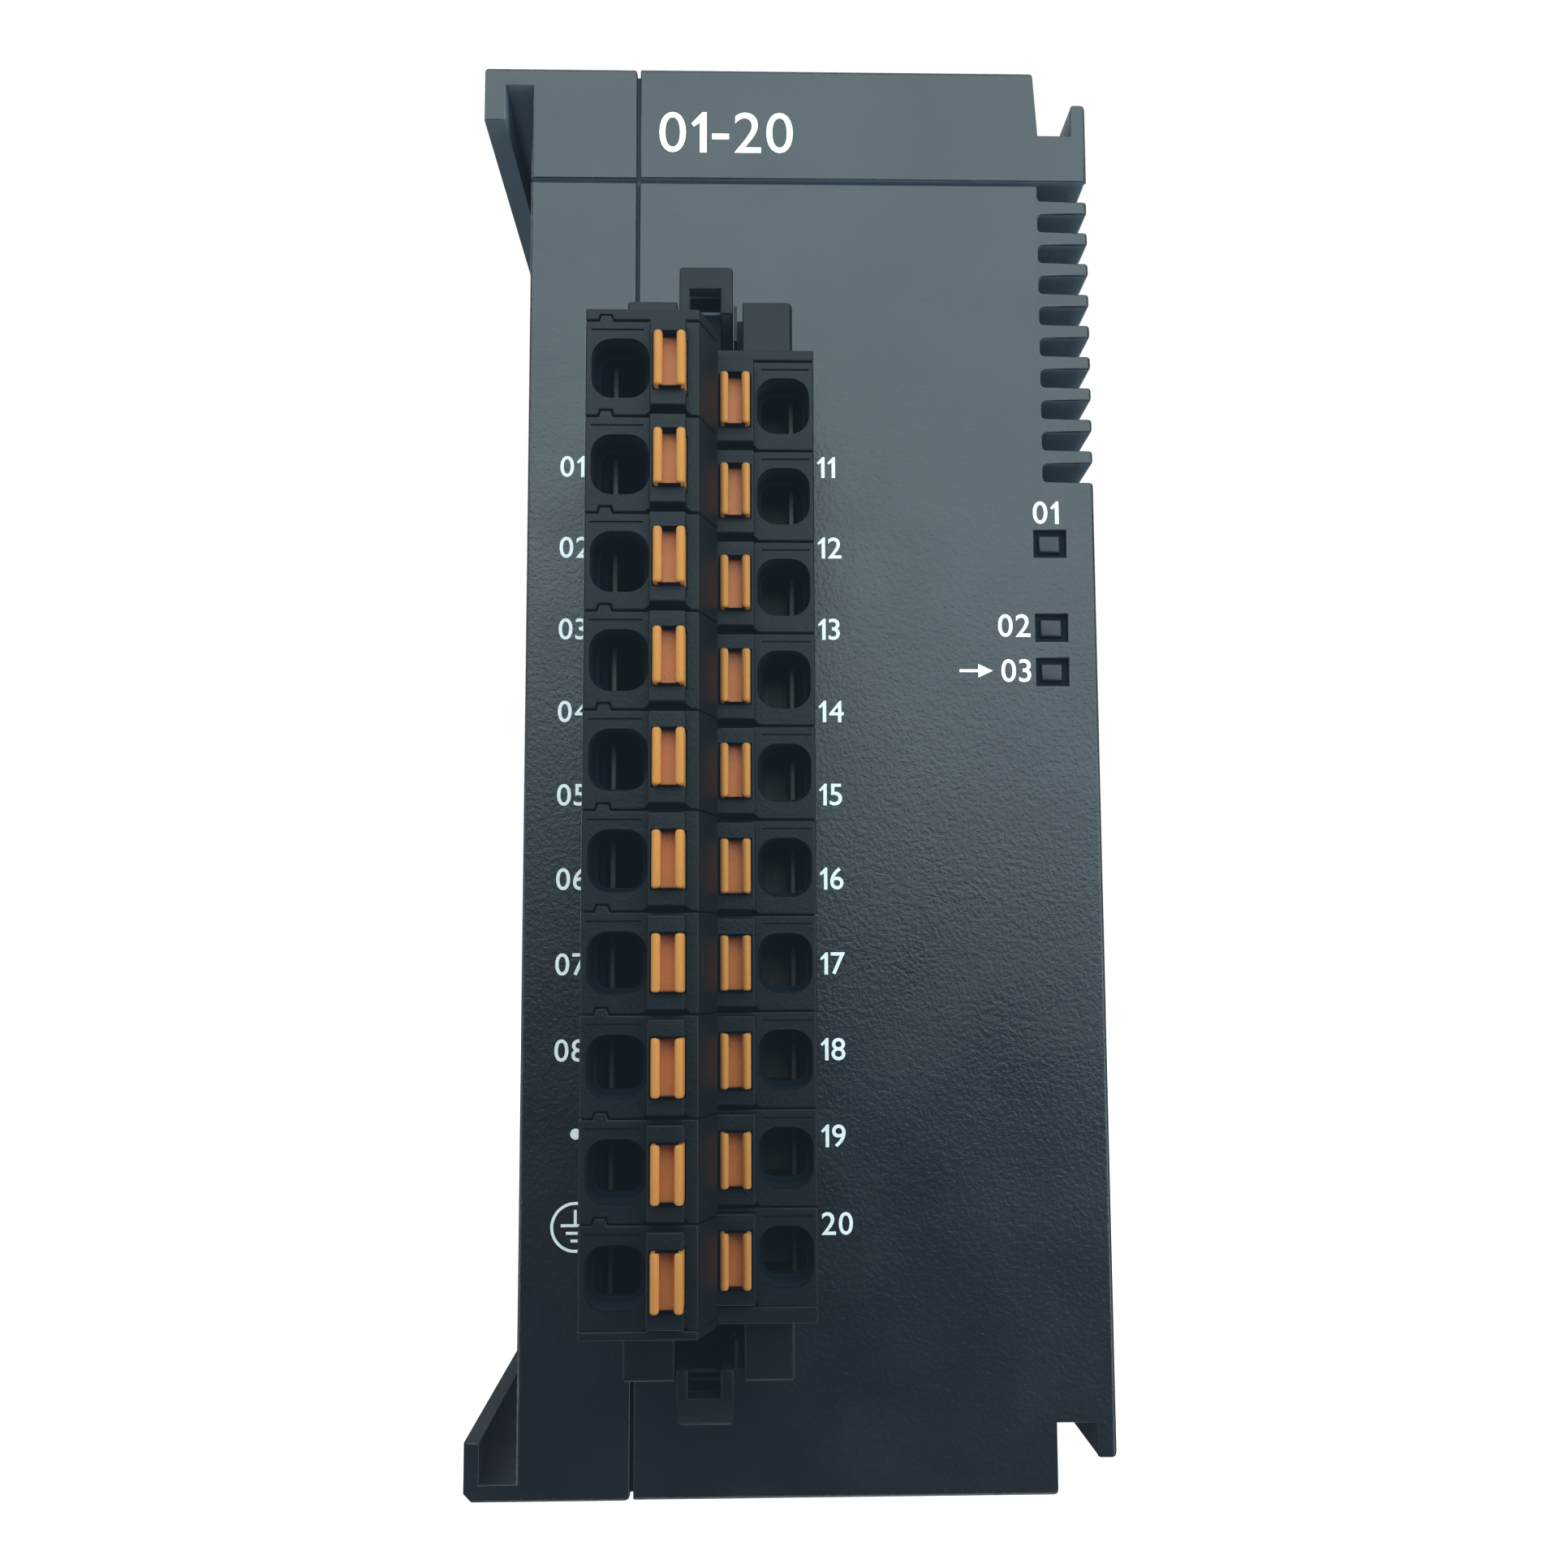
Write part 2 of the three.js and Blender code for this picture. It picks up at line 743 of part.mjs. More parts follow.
function wireHole(pole) {
  const entry = prism(
    "y",
    roundedRect(pole.holeX, 0, pole.holeWidth, pole.holeHeight, 1.1, 3),
    above(pole.face + 1),
    above(pole.face - 2),
  );
  const throat = prism(
    "y",
    roundedRect(pole.holeX, 0, pole.holeWidth - 0.7, pole.holeHeight - 0.8, 0.8, 2),
    above(pole.face),
    above(pole.pocketTop - 1),
  );
  return join(entry, throat);
}

function pusherShaft(pole) {
  const w = PUSHER.width / 2 + PUSHER_CLEARANCE;
  const h = PUSHER.height / 2 + PUSHER_CLEARANCE;
  const mouth = above(pole.turret + 1);
  const end = above(pole.pocketTop - 1);
  return block(pole.pusherX - w, pole.pusherX + w, mouth, end, -h, h);
}

// The clamp's pocket opens on the slice's upper side, where the next slice closes it
function clampPocket(pole) {
  const floor = -SLICE_HALF + 0.9;
  const wall = 0.7;
  const body = block(
    pole.pocketFrom,
    pole.pocketTo,
    above(pole.pocketTop),
    above(PLUG.skirt + wall),
    floor,
    SLICE_HALF + 1,
  );
  const stem = block(
    Math.max(PLUG.spigotLeft + wall, pole.pinX - 1.3),
    Math.min(PLUG.spigotRight - wall, pole.pinX + 1.3),
    above(PLUG.skirt + wall + 1),
    above(PLUG.spigotEnd + wall),
    floor,
    SLICE_HALF + 1,
  );
  return join(body, stem);
}

function pinHole(pole) {
  const half = PIN.size / 2 + 0.15;
  const far = above(PLUG.skirt);
  const mouth = above(PLUG.spigotEnd - 1);
  return block(pole.pinX - half, pole.pinX + half, far, mouth, -half, half);
}

// The notch that takes the tab of the slice below; its slice ends at the plane z
function tabNotch(z) {
  return block(
    TAB.from - SLICE_GAP,
    TAB.to + SLICE_GAP,
    above(UPPER.face + 1),
    above(UPPER.face - TAB.depth - SLICE_GAP),
    z - 1,
    z + TAB.rise,
  );
}

function plugSlice() {
  const body = prism("z", sliceOutline(), -SLICE_HALF, SLICE_HALF);
  const tab = block(
    TAB.from,
    TAB.to,
    above(UPPER.face),
    above(UPPER.face - TAB.depth),
    1,
    SLICE_HALF + TAB.rise,
  );
  const poles = [UPPER, LOWER];
  return cut(
    join(body, tab, ...poles.map(turret)),
    tabNotch(-SLICE_HALF),
    ...poles.map(footRecess),
    ...poles.map(wireHole),
    ...poles.map(pusherShaft),
    ...poles.map(clampPocket),
    ...poles.map(pinHole),
  );
}

// The plate that closes the top slice; its notch takes that slice's tab
function plugEndPlate() {
  const from = rowZ(0) + SLICE_HALF + SLICE_GAP;
  return cut(prism("z", sliceOutline(), from, PLUG_TOP), tabNotch(from));
}

// The bottom slice is closed by its own thicker floor
function plugBottomSlice() {
  const end = -SLICE_HALF - PLUG.bottomPlate;
  const lip = block(
    SLOPE.to,
    PLUG.right,
    above(LOWER.face),
    above(FLOOR_LIP.foot),
    end - FLOOR_LIP.height,
    end + SLICE_GAP,
  );
  return join(plugSlice(), prism("z", sliceOutline(), end, -SLICE_HALF), lip);
}

// ---- pushers and clamps, about the slice's mid plane ----

// A pusher in section (x, y): a block whose front is two rails beside a channel
function pusher(pole) {
  const half = PUSHER.width / 2;
  const channel = half - PUSHER.rail;
  const top = pole.pusherTop;
  const r = PUSHER.endRadius;
  const outline = [
    [-half, top - PUSHER.length],
    [half, top - PUSHER.length],
    ...arc(half - r, top - r, r, 0, 90, 2),
    ...arc(channel + r, top - r, r, 90, 180, 2),
    [channel, top - PUSHER.channelDepth],
    [-channel, top - PUSHER.channelDepth],
    ...arc(-channel - r, top - r, r, 0, 90, 2),
    ...arc(-half + r, top - r, r, 90, 180, 2),
  ];
  const section = outline.map(([u, h]) => [pole.pusherX + u, above(h)]).reverse();
  return prism("z", section, -PUSHER.height / 2, PUSHER.height / 2);
}

// A clamp in section (x, y): a fork on the header pin, a current bar beside the wire and a
// spring leaf that leans from the fork towards the bar, under the pusher
function clamp(pole) {
  const { outward, barX, pinX } = pole;
  const t = 0.3;
  const forkTip = PLUG.spigotEnd + 1.2;
  const neck = PIN.tip + 0.3;
  const barTop = pole.pocketTop - 0.5;
  const leafTip = pole.pusherTop - PUSHER.length - PUSHER_TRAVEL - 0.25;
  const grip = PIN.size / 2 + 0.05;
  const inner = pinX - outward * grip;
  const outer = pinX + outward * grip;
  const leafX = pole.pusherX + outward * 0.5;
  const outline = [
    [inner, forkTip],
    [inner - outward * t, forkTip],
    [inner - outward * t, neck + t],
    [leafX - outward * t, leafTip],
    [leafX, leafTip],
    [inner + outward * 0.2, neck + t],
    [barX - outward * t, neck + t],
    [barX - outward * t, barTop],
    [barX, barTop],
    [barX, neck],
    [outer + outward * t, neck],
    [outer + outward * t, forkTip],
    [outer, forkTip],
    [outer, neck],
    [inner, neck],
  ].map(([x, h]) => [x, above(h)]);
  return prism("z", outward > 0 ? outline : outline.reverse(), -1.4, 1.4);
}

// ---- boards, lens strip and rail clip ----

// How far a soldered component is sunk into its board, so that the two are one piece
const SINK = 0.1;

function frontBoard() {
  const { left, right, top, bottom, front, thickness } = FRONT_BOARD;
  const rear = above(front - thickness);
  const board = block(left, right, above(front), rear, bottom, top);
  const holes = pinGrid(PIN.size + 2 * CLEARANCE, front + 1, front - thickness - 1);
  const lampFront = above(front + LAMP_CHIP.thickness);
  const lamps = LAMP_Z.map((z) => {
    const half = LAMP_CHIP.height / 2;
    const edges = [LAMP_X - LAMP_CHIP.left, LAMP_X + LAMP_CHIP.right];
    return block(...edges, lampFront, above(front - SINK), z - half, z + half);
  });
  const chips = DRIVER_CHIP.z.map((z) => {
    const half = DRIVER_CHIP.height / 2;
    const edges = [DRIVER_CHIP.left, DRIVER_CHIP.right];
    return block(...edges, rear - SINK, rear + DRIVER_CHIP.thickness, z - half, z + half);
  });
  const converter = block(
    CONVERTER.left,
    CONVERTER.right,
    rear - SINK,
    rear + CONVERTER.thickness,
    CONVERTER.bottom,
    CONVERTER.top,
  );
  return join(cut(board, ...holes), ...lamps, ...chips, converter);
}

function mainBoard() {
  const { left, right, z, thickness, front, back } = MAIN_BOARD;
  const top = z + thickness;
  const base = top - SINK;
  const connectorTop = top + BUS.height;
  const socketEnd = BUS.socketFace - CLEARANCE;
  const board = block(left, right, front, back, z, top);
  const plug = block(BUS.plugTip, left + BUS.length, BUS.from, BUS.to, base, connectorTop);
  const socket = block(socketEnd - BUS.length, socketEnd, BUS.from, BUS.to, base, connectorTop);
  const mouth = (x0, x1, play) => {
    const inset = BUS_TONGUE.inset + play;
    const from = BUS.from + inset;
    const to = BUS.to - inset;
    return block(x0, x1, from, to, top + BUS_TONGUE.low + play, top + BUS_TONGUE.high - play);
  };
  const plugMouth = mouth(BUS.plugTip - 1, left, BUS_TONGUE.play);
  const socketMouth = mouth(socketEnd - BUS_TONGUE.depth, socketEnd + 1, 0);
  const chip = PROCESSOR;
  const processor = block(chip.left, chip.right, chip.front, chip.back, base, top + chip.thickness);
  const can = circle(CAPACITOR.x, CAPACITOR.y, CAPACITOR.radius, 12);
  const capacitor = prism("z", can, base, top + CAPACITOR.height);
  const coil = block(COIL.left, COIL.right, COIL.front, COIL.back, base, top + COIL.height);
  return join(board, cut(plug, plugMouth), cut(socket, socketMouth), processor, capacitor, coil);
}

// Three clear pillars on one strip carry the lamps' light to the front
function lightGuide() {
  const { lensWidth, lensHeight } = LAMP;
  const { front, back, left, right, beyond } = LIGHT_STRIP;
  const pillars = LAMP_Z.map((z) =>
    block(
      LAMP_X - lensWidth / 2,
      LAMP_X + lensWidth / 2,
      above(-LAMP.recessDepth),
      above(-back),
      z - lensHeight / 2,
      z + lensHeight / 2,
    ),
  );
  const strip = block(
    LAMP_X - left,
    LAMP_X + right,
    above(-front),
    above(-back),
    Math.min(...LAMP_Z) - beyond,
    Math.max(...LAMP_Z) + beyond,
  );
  return join(strip, ...pillars);
}

function dinClip() {
  const { halfWidth, tongueHalfWidth, front, step, back, nose, bottom } = CLIP;
  const { noseRoot, shoulder, toolSlot, grip, springGap } = CLIP;
  const sliderTop = RAIL.bottom - shoulder;
  const slider = block(-halfWidth, halfWidth, front, step, bottom, sliderTop);
  const noseOutline = [
    [front, RAIL.bottom - noseRoot],
    [step, RAIL.bottom - noseRoot],
    [step, nose - shoulder],
    [front + 0.5, nose],
    [front, nose],
  ];
  const noseBlock = prism("x", noseOutline, -halfWidth, halfWidth);
  const tongue = block(-tongueHalfWidth, tongueHalfWidth, step - 0.5, back, bottom, sliderTop);
  const slot = block(
    -toolSlot.halfWidth,
    toolSlot.halfWidth,
    front - 1,
    back + 1,
    bottom + toolSlot.from,
    bottom + toolSlot.to,
  );
  const grooves = grip.rises.map((rise) => {
    const low = bottom + rise;
    return block(-halfWidth, halfWidth, back - grip.depth, back + 1, low, low + grip.height);
  });
  const springGaps = BOTH_SIDES.map((side) => {
    const centre = side * springGap.centre;
    const half = springGap.width / 2;
    const low = bottom + springGap.from;
    const high = RAIL.bottom - springGap.to;
    return block(centre - half, centre + half, front - 1, step + 1, low, high);
  });
  return cut(join(slider, noseBlock, tongue), slot, ...grooves, ...springGaps);
}

// ---- assembly ----

const group = new THREE.Group();

group.add(piece("main_housing", mainHousing(), finishes.housing()));
group.add(piece("left_cover", leftCover(), finishes.housing()));
group.add(piece("terminal_header", terminalHeader(), finishes.header()));
group.add(piece("latch_lever_top", latchLever(PLUG_TOP, 1), finishes.header()));
group.add(piece("latch_lever_bottom", latchLever(PLUG_BOTTOM, -1), finishes.header()));
group.add(piece("front_board", frontBoard(), finishes.board()));
group.add(piece("main_board", mainBoard(), finishes.board()));
group.add(piece("light_guide", lightGuide(), finishes.lens()));
group.add(piece("din_clip", dinClip(), finishes.clip()));

const plug = new THREE.Group();
plug.add(piece("plug_end_plate", plugEndPlate(), finishes.plug()));
const slice = plugSlice();
const bottomSlice = plugBottomSlice();
for (const row of rows) {
  const level = new THREE.Group();
  level.position.z = rowZ(row);
  const label = String(row + 1).padStart(2, "0");
  const body = row === ROWS - 1 ? bottomSlice : slice;
  level.add(piece(`plug_slice_${label}`, body, finishes.plug()));
  for (const pole of [UPPER, LOWER]) {
    level.add(piece(`clamp_${pole.name}_${label}`, clamp(pole), finishes.clamp()));
    level.add(piece(`pusher_${pole.name}_${label}`, pusher(pole), finishes.pusher()));
  }
  plug.add(level);
}
group.add(plug);

export default group;
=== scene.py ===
"""The looks of a DIN-rail expansion module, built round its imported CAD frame."""

import math

import bmesh
import bpy
from mathutils import Matrix, Vector

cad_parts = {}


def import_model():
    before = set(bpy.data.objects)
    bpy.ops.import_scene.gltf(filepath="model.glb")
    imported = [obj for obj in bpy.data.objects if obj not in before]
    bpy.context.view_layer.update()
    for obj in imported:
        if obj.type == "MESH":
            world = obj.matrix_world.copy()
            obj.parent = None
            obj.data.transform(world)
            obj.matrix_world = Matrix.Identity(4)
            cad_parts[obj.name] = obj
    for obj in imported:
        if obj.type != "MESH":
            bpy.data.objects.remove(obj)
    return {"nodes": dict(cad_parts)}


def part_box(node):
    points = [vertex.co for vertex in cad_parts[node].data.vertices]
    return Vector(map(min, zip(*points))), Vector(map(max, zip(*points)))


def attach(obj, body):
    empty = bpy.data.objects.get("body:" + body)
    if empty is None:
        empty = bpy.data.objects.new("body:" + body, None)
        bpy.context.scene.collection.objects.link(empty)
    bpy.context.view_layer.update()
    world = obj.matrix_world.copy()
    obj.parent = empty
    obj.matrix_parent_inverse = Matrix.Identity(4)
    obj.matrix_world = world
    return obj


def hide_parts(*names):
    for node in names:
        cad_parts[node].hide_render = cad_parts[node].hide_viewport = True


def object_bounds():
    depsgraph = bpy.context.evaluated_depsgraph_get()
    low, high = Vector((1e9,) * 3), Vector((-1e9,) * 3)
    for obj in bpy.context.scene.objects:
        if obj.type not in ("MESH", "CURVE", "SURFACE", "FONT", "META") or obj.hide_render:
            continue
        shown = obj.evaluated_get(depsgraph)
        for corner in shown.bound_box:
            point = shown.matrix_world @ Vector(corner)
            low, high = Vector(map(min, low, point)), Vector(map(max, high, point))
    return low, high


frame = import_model()
CAD_LOW, CAD_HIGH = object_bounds()

# Sizes are in millimetres, up to the stage. X runs right, +Y towards the wall, Z up.
MM = 0.001
NODES = frame["nodes"]


def box(node):
    """A CAD node's lowest and highest corners."""
    low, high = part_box(node)
    return low / MM, high / MM


# ---- places taken from the frame ----

HOUSING_LOW, HOUSING_HIGH = box("main_housing")
FACE_Y = HOUSING_LOW.y
HEADER_LOW, HEADER_HIGH = box("terminal_header")
ROW_COUNT = sum(name.startswith("plug_slice_") for name in NODES)
ROWS = [f"{n:02d}" for n in range(1, ROW_COUNT + 1)]
POLES = ("upper", "lower")


def centre(node):
    low, high = box(node)
    return (low + high) / 2


def above(height):
    """The Y place of the plane at a given height in front of the face."""
    return FACE_Y - height


# ---- mesh helpers ----

DOUBLED = 1e-4
FLAT_ANGLE = 0.5
SHARP_ANGLE = 50


def link(name, mesh):
    obj = bpy.data.objects.new(name, mesh)
    bpy.context.scene.collection.objects.link(obj)
    return obj


def mesh_from(bm, name="work"):
    mesh = bpy.data.meshes.new(name)
    bmesh.ops.recalc_face_normals(bm, faces=bm.faces)
    bm.to_mesh(mesh)
    bm.free()
    return mesh


AXES = {
    "x": lambda u, v, w: Vector((w, u, v)),
    "y": lambda u, v, w: Vector((u, w, v)),
    "z": lambda u, v, w: Vector((u, v, w)),
}


def loft(axis, rings):
    """A closed solid through outlines given as (place along the axis, points)."""
    bm = bmesh.new()
    made = [[bm.verts.new(AXES[axis](u, v, w)) for u, v in points] for w, points in rings]
    bm.faces.new(made[0])
    bm.faces.new(made[-1])
    count = len(made[0])
    for near, far in zip(made, made[1:]):
        for i in range(count):
            j = (i + 1) % count
            bm.faces.new((near[i], near[j], far[j], far[i]))
    return link("work", mesh_from(bm))


def prism(axis, outline, start, end):
    return loft(axis, [(start, outline), (end, outline)])


def rectangle(u0, u1, v0, v1):
    return [(u0, v0), (u1, v0), (u1, v1), (u0, v1)]


def block(x0, x1, y0, y1, z0, z1):
    return prism("y", rectangle(x0, x1, z0, z1), y0, y1)


def arc(cu, cv, radius, start, end, steps):
    """Points on a circle between two angles in degrees."""
    turn = [math.radians(start + (end - start) * i / steps) for i in range(steps + 1)]
    return [(cu + radius * math.cos(a), cv + radius * math.sin(a)) for a in turn]


def rounded(cu, cv, width, height, radius, steps=6):
    """A rectangle's outline with round corners."""
    du = width / 2 - radius
    dv = height / 2 - radius
    corners = ((du, dv, 0), (-du, dv, 90), (-du, -dv, 180), (du, -dv, 270))
    return [p for u, v, a in corners for p in arc(cu + u, cv + v, radius, a, a + 90, steps)]


def settle(obj):
    """Applies an object's modifiers to its mesh."""
    bpy.context.view_layer.update()
    graph = bpy.context.evaluated_depsgraph_get()
    mesh = bpy.data.meshes.new_from_object(obj.evaluated_get(graph))
    obj.modifiers.clear()
    obj.data = mesh
    return obj


def take_mesh(obj):
    """The mesh of a work object, which is removed."""
    mesh = obj.data
    bpy.data.objects.remove(obj)
    return mesh


def boolean(obj, tools, operation):
    for tool in tools:
        mod = obj.modifiers.new(operation.lower(), "BOOLEAN")
        mod.operation = operation
        mod.solver = "EXACT"
        mod.object = tool
    settle(obj)
    for tool in tools:
        bpy.data.objects.remove(tool)
    return merge_planes(obj)


def join(obj, *tools):
    return boolean(obj, tools, "UNION")


def keep(obj, tool):
    return boolean(obj, [tool], "INTERSECT")


def cut(obj, *tools):
    return boolean(obj, tools, "DIFFERENCE")


def merge_planes(obj):
    """Merges doubled points, and faces that lie in one plane."""
    bm = bmesh.new()
    bm.from_mesh(obj.data)
    bmesh.ops.remove_doubles(bm, verts=bm.verts, dist=DOUBLED)
    flat = math.radians(FLAT_ANGLE)
    bmesh.ops.dissolve_limit(bm, angle_limit=flat, verts=bm.verts, edges=bm.edges)
    bm.to_mesh(obj.data)
    bm.free()
    return obj


def copy_of_cad(node):
    """A CAD node's shape as a new millimetre work object."""
    mesh = NODES[node].data.copy()
    mesh.transform(Matrix.Scale(1 / MM, 4))
    mesh.materials.clear()
    obj = link("work", mesh)
    if mesh.attributes.get("custom_normal"):
        mesh.attributes.remove(mesh.attributes["custom_normal"])
    return merge_planes(obj)


class Edge:
    """What a rounding rule may ask of an edge."""

    def __init__(self, edge):
        a, b = (v.co for v in edge.verts)
        self.middle = (a + b) / 2
        self.length = (a - b).length
        self.along = max(range(3), key=lambda i: abs((b - a)[i]))
        self.turn = math.degrees(edge.calc_face_angle(0))
        self.convex = edge.is_convex


def round_edges(obj, rule, segments=3):
    """Rounds each edge by the radius that the rule gives it, 0 for none."""
    bm = bmesh.new()
    bm.from_mesh(obj.data)
    bm.normal_update()
    layer = bm.edges.layers.float.new("bevel_weight_edge")
    radii = {e: rule(Edge(e)) for e in bm.edges if len(e.link_faces) == 2}
    largest = max(radii.values(), default=0)
    if largest == 0:
        bm.free()
        return obj
    for edge, radius in radii.items():
        edge[layer] = radius / largest
    bm.to_mesh(obj.data)
    bm.free()
    mod = obj.modifiers.new("edges", "BEVEL")
    mod.width = largest
    mod.segments = segments
    mod.limit_method = "WEIGHT"
    mod.use_clamp_overlap = False
    return settle(obj)


def paint(obj, *rules):
    """Gives each face the index of the last rule that holds for its middle and normal."""
    for polygon in obj.data.polygons:
        for index, rule in enumerate(rules, start=1):
            if rule(polygon.center, polygon.normal):
                polygon.material_index = index
    return obj


def finish_piece(obj, name, body, materials, replaces=()):
    """Turns a millimetre work object into a finished piece in metres."""
    obj.data.transform(Matrix.Scale(MM, 4))
    obj.name = name
    obj.data.name = name
    for material in materials:
        obj.data.materials.append(material)
    for polygon in obj.data.polygons:
        polygon.use_smooth = True
    obj.data.set_sharp_from_angle(angle=math.radians(SHARP_ANGLE))
    normals = obj.modifiers.new("normals", "WEIGHTED_NORMAL")
    normals.weight = 100
    normals.keep_sharp = True
    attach(obj, body)
    if replaces:
        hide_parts(*replaces)
    return obj


def round_cad(node, width, segments, material, sharpest=32):
    """Keeps a CAD node, with its edges rounded and a procedural material."""
    obj = NODES[node]
    obj.data.materials.clear()
    obj.data.materials.append(material)
    weld = obj.modifiers.new("weld", "WELD")
    weld.merge_threshold = 2 * DOUBLED * MM
    flat = obj.modifiers.new("planes", "DECIMATE")
    flat.decimate_type = "DISSOLVE"
    flat.angle_limit = math.radians(FLAT_ANGLE)
    edges = obj.modifiers.new("edges", "BEVEL")
    edges.width = width * MM
    edges.segments = segments
    edges.limit_method = "ANGLE"
    edges.angle_limit = math.radians(sharpest)
    return obj


# ---- materials ----

# The parts of a noise's range that most of its values lie in
NARROW = (0.35, 0.65)
WIDE = (0.3, 0.7)


class Shader:
    """A material's node tree with short calls to add and join nodes."""

    def __init__(self, name):
        self.material = bpy.data.materials.new(name)
        self.material.use_nodes = True
        self.tree = self.material.node_tree
        self.surface = self.tree.nodes["Principled BSDF"]

    def add(self, kind, **settings):
        node = self.tree.nodes.new(kind)
        for key, value in settings.items():
            setattr(node, key, value)
        return node

    def wire(self, source, target):
        self.tree.links.new(source, target)

    def noise(self, scale, detail=2.0, rough=0.5, stretch=(1, 1, 1)):
        place = self.add("ShaderNodeTexCoord")
        turn = self.add("ShaderNodeMapping")
        turn.inputs["Scale"].default_value = stretch
        node = self.add("ShaderNodeTexNoise")
        node.inputs["Scale"].default_value = scale
        node.inputs["Detail"].default_value = detail
        node.inputs["Roughness"].default_value = rough
        self.wire(place.outputs["Object"], turn.inputs["Vector"])
        self.wire(turn.outputs["Vector"], node.inputs["Vector"])
        return node.outputs["Fac"]

    def remap(self, value, low, high, out_low=0.0, out_high=1.0):
        node = self.add("ShaderNodeMapRange")
        numbers = {"From Min": low, "From Max": high, "To Min": out_low, "To Max": out_high}
        for key, number in numbers.items():
            node.inputs[key].default_value = number
        self.wire(value, node.inputs["Value"])
        return node.outputs["Result"]

    def mix(self, factor, first, second):
        """A colour between two, each a colour or a node's output."""
        node = self.add("ShaderNodeMix", data_type="RGBA")
        for place, value in ((0, factor), (6, first), (7, second)):
            socket = node.inputs[place]
            if isinstance(value, tuple):
                socket.default_value = (*value, 1.0)
            elif isinstance(value, (int, float)):
                socket.default_value = value
            else:
                self.wire(value, socket)
        return node.outputs[2]

    def bump(self, height, distance, strength=1.0, under=None):
        node = self.add("ShaderNodeBump")
        node.inputs["Strength"].default_value = strength
        node.inputs["Distance"].default_value = distance
        self.wire(height, node.inputs["Height"])
        if under is not None:
            self.wire(under, node.inputs["Normal"])
        return node.outputs["Normal"]

    def edges(self, low=0.52, high=0.6):
        """How exposed an edge is, from 0 to 1."""
        return self.remap(self.add("ShaderNodeNewGeometry").outputs["Pointiness"], low, high)

    def set(self, **values):
        for key, value in values.items():
            socket = self.surface.inputs[key.replace("_", " ")]
            if isinstance(value, tuple):
                socket.default_value = (*value, 1.0)
            elif isinstance(value, (int, float)):
                socket.default_value = value
            else:
                self.wire(value, socket)


def srgb(red, green, blue):
    def linear(v):
        v /= 255
        return v / 12.92 if v <= 0.04045 else ((v + 0.055) / 1.055) ** 2.4

    return tuple(linear(v) for v in (red, green, blue))


def scaled(colour, factor):
    return tuple(min(1.0, c * factor) for c in colour)


def moulded(
    name, colour, roughness, grain=4200, depth=0.012, coarse=650, edge_wear_and_highlight=0.35, shine=0.5, swell=0.15
):
    """Moulded plastic: a leathery grain, cloudy colour, uneven gloss, and convex edges painted paler,
    partly as rubbed wear and partly as a painted highlight.

    grain and coarse are the scales of the fine and the broad pattern, depth is the grain's depth,
    swell the strength of the broad waves, and edge_wear_and_highlight the paleness of convex edges.
    """
    s = Shader(name)
    cloud = s.noise(coarse * 0.12, 3)
    speck = s.remap(s.noise(grain * 0.5, 2), *NARROW)
    tone = s.mix(cloud, scaled(colour, 0.82), scaled(colour, 1.18))
    tone = s.mix(s.remap(speck, 0, 1, 0, 0.12), tone, scaled(colour, 1.25))
    # Convex edges are painted paler: partly rubbed wear, partly a painted highlight.
    worn_and_highlit = s.remap(s.edges(), 0, 1, 0, edge_wear_and_highlight)
    tone = s.mix(worn_and_highlit, tone, scaled(colour, 2.2))
    fine = s.remap(s.noise(grain, 3, 0.55), *NARROW)
    broad = s.noise(coarse, 2)
    normal = s.bump(broad, 0.05 * MM, swell)
    normal = s.bump(fine, depth * MM, 1.0, normal)
    gloss = s.remap(s.noise(coarse * 0.3, 3), 0, 1, roughness - 0.12, roughness + 0.13)
    s.set(Base_Color=tone, Roughness=gloss, Normal=normal, Specular_IOR_Level=shine)
    return s.material


def metal(name, colour, roughness, grain=5000, stretch=(1, 1, 0.06)):
    """Rolled or plated metal with fine drawn lines."""
    s = Shader(name)
    lines = s.noise(grain, 3, 0.6, stretch)
    tone = s.mix(s.remap(s.noise(900, 3), *WIDE), scaled(colour, 0.82), colour)
    gloss = s.remap(lines, *WIDE, roughness - 0.06, roughness + 0.1)
    s.set(Base_Color=tone, Roughness=gloss, Metallic=1.0, Normal=s.bump(lines, 0.004 * MM))
    return s.material


def printed_ink(name, colour):
    """Pad-printed ink: slightly patchy, with a soft gloss."""
    s = Shader(name)
    patch = s.remap(s.noise(2600, 3), 0.35, 0.7)
    s.set(
        Base_Color=s.mix(patch, scaled(colour, 0.9), colour),
        Roughness=s.remap(patch, 0, 1, 0.5, 0.42),
        Normal=s.bump(s.noise(5200, 2), 0.006 * MM, 0.7),
    )
    return s.material


def circuit_board(name):
    """Solder mask over copper tracks."""
    s = Shader(name)
    place = s.add("ShaderNodeTexCoord")
    tracks = s.add("ShaderNodeTexBrick")
    tracks.inputs["Scale"].default_value = 380
    tracks.inputs["Mortar Size"].default_value = 0.012
    s.wire(place.outputs["Object"], tracks.inputs["Vector"])
    track = tracks.outputs["Fac"]
    green = srgb(22, 82, 52)
    tone = s.mix(track, green, scaled(green, 1.7))
    tone = s.mix(s.remap(s.noise(180, 2), *WIDE, 0, 0.25), tone, scaled(green, 0.6))
    gloss = s.remap(s.noise(900), *WIDE, 0.28, 0.4)
    s.set(Base_Color=tone, Roughness=gloss, Normal=s.bump(track, 0.02 * MM, 0.6))
    return s.material


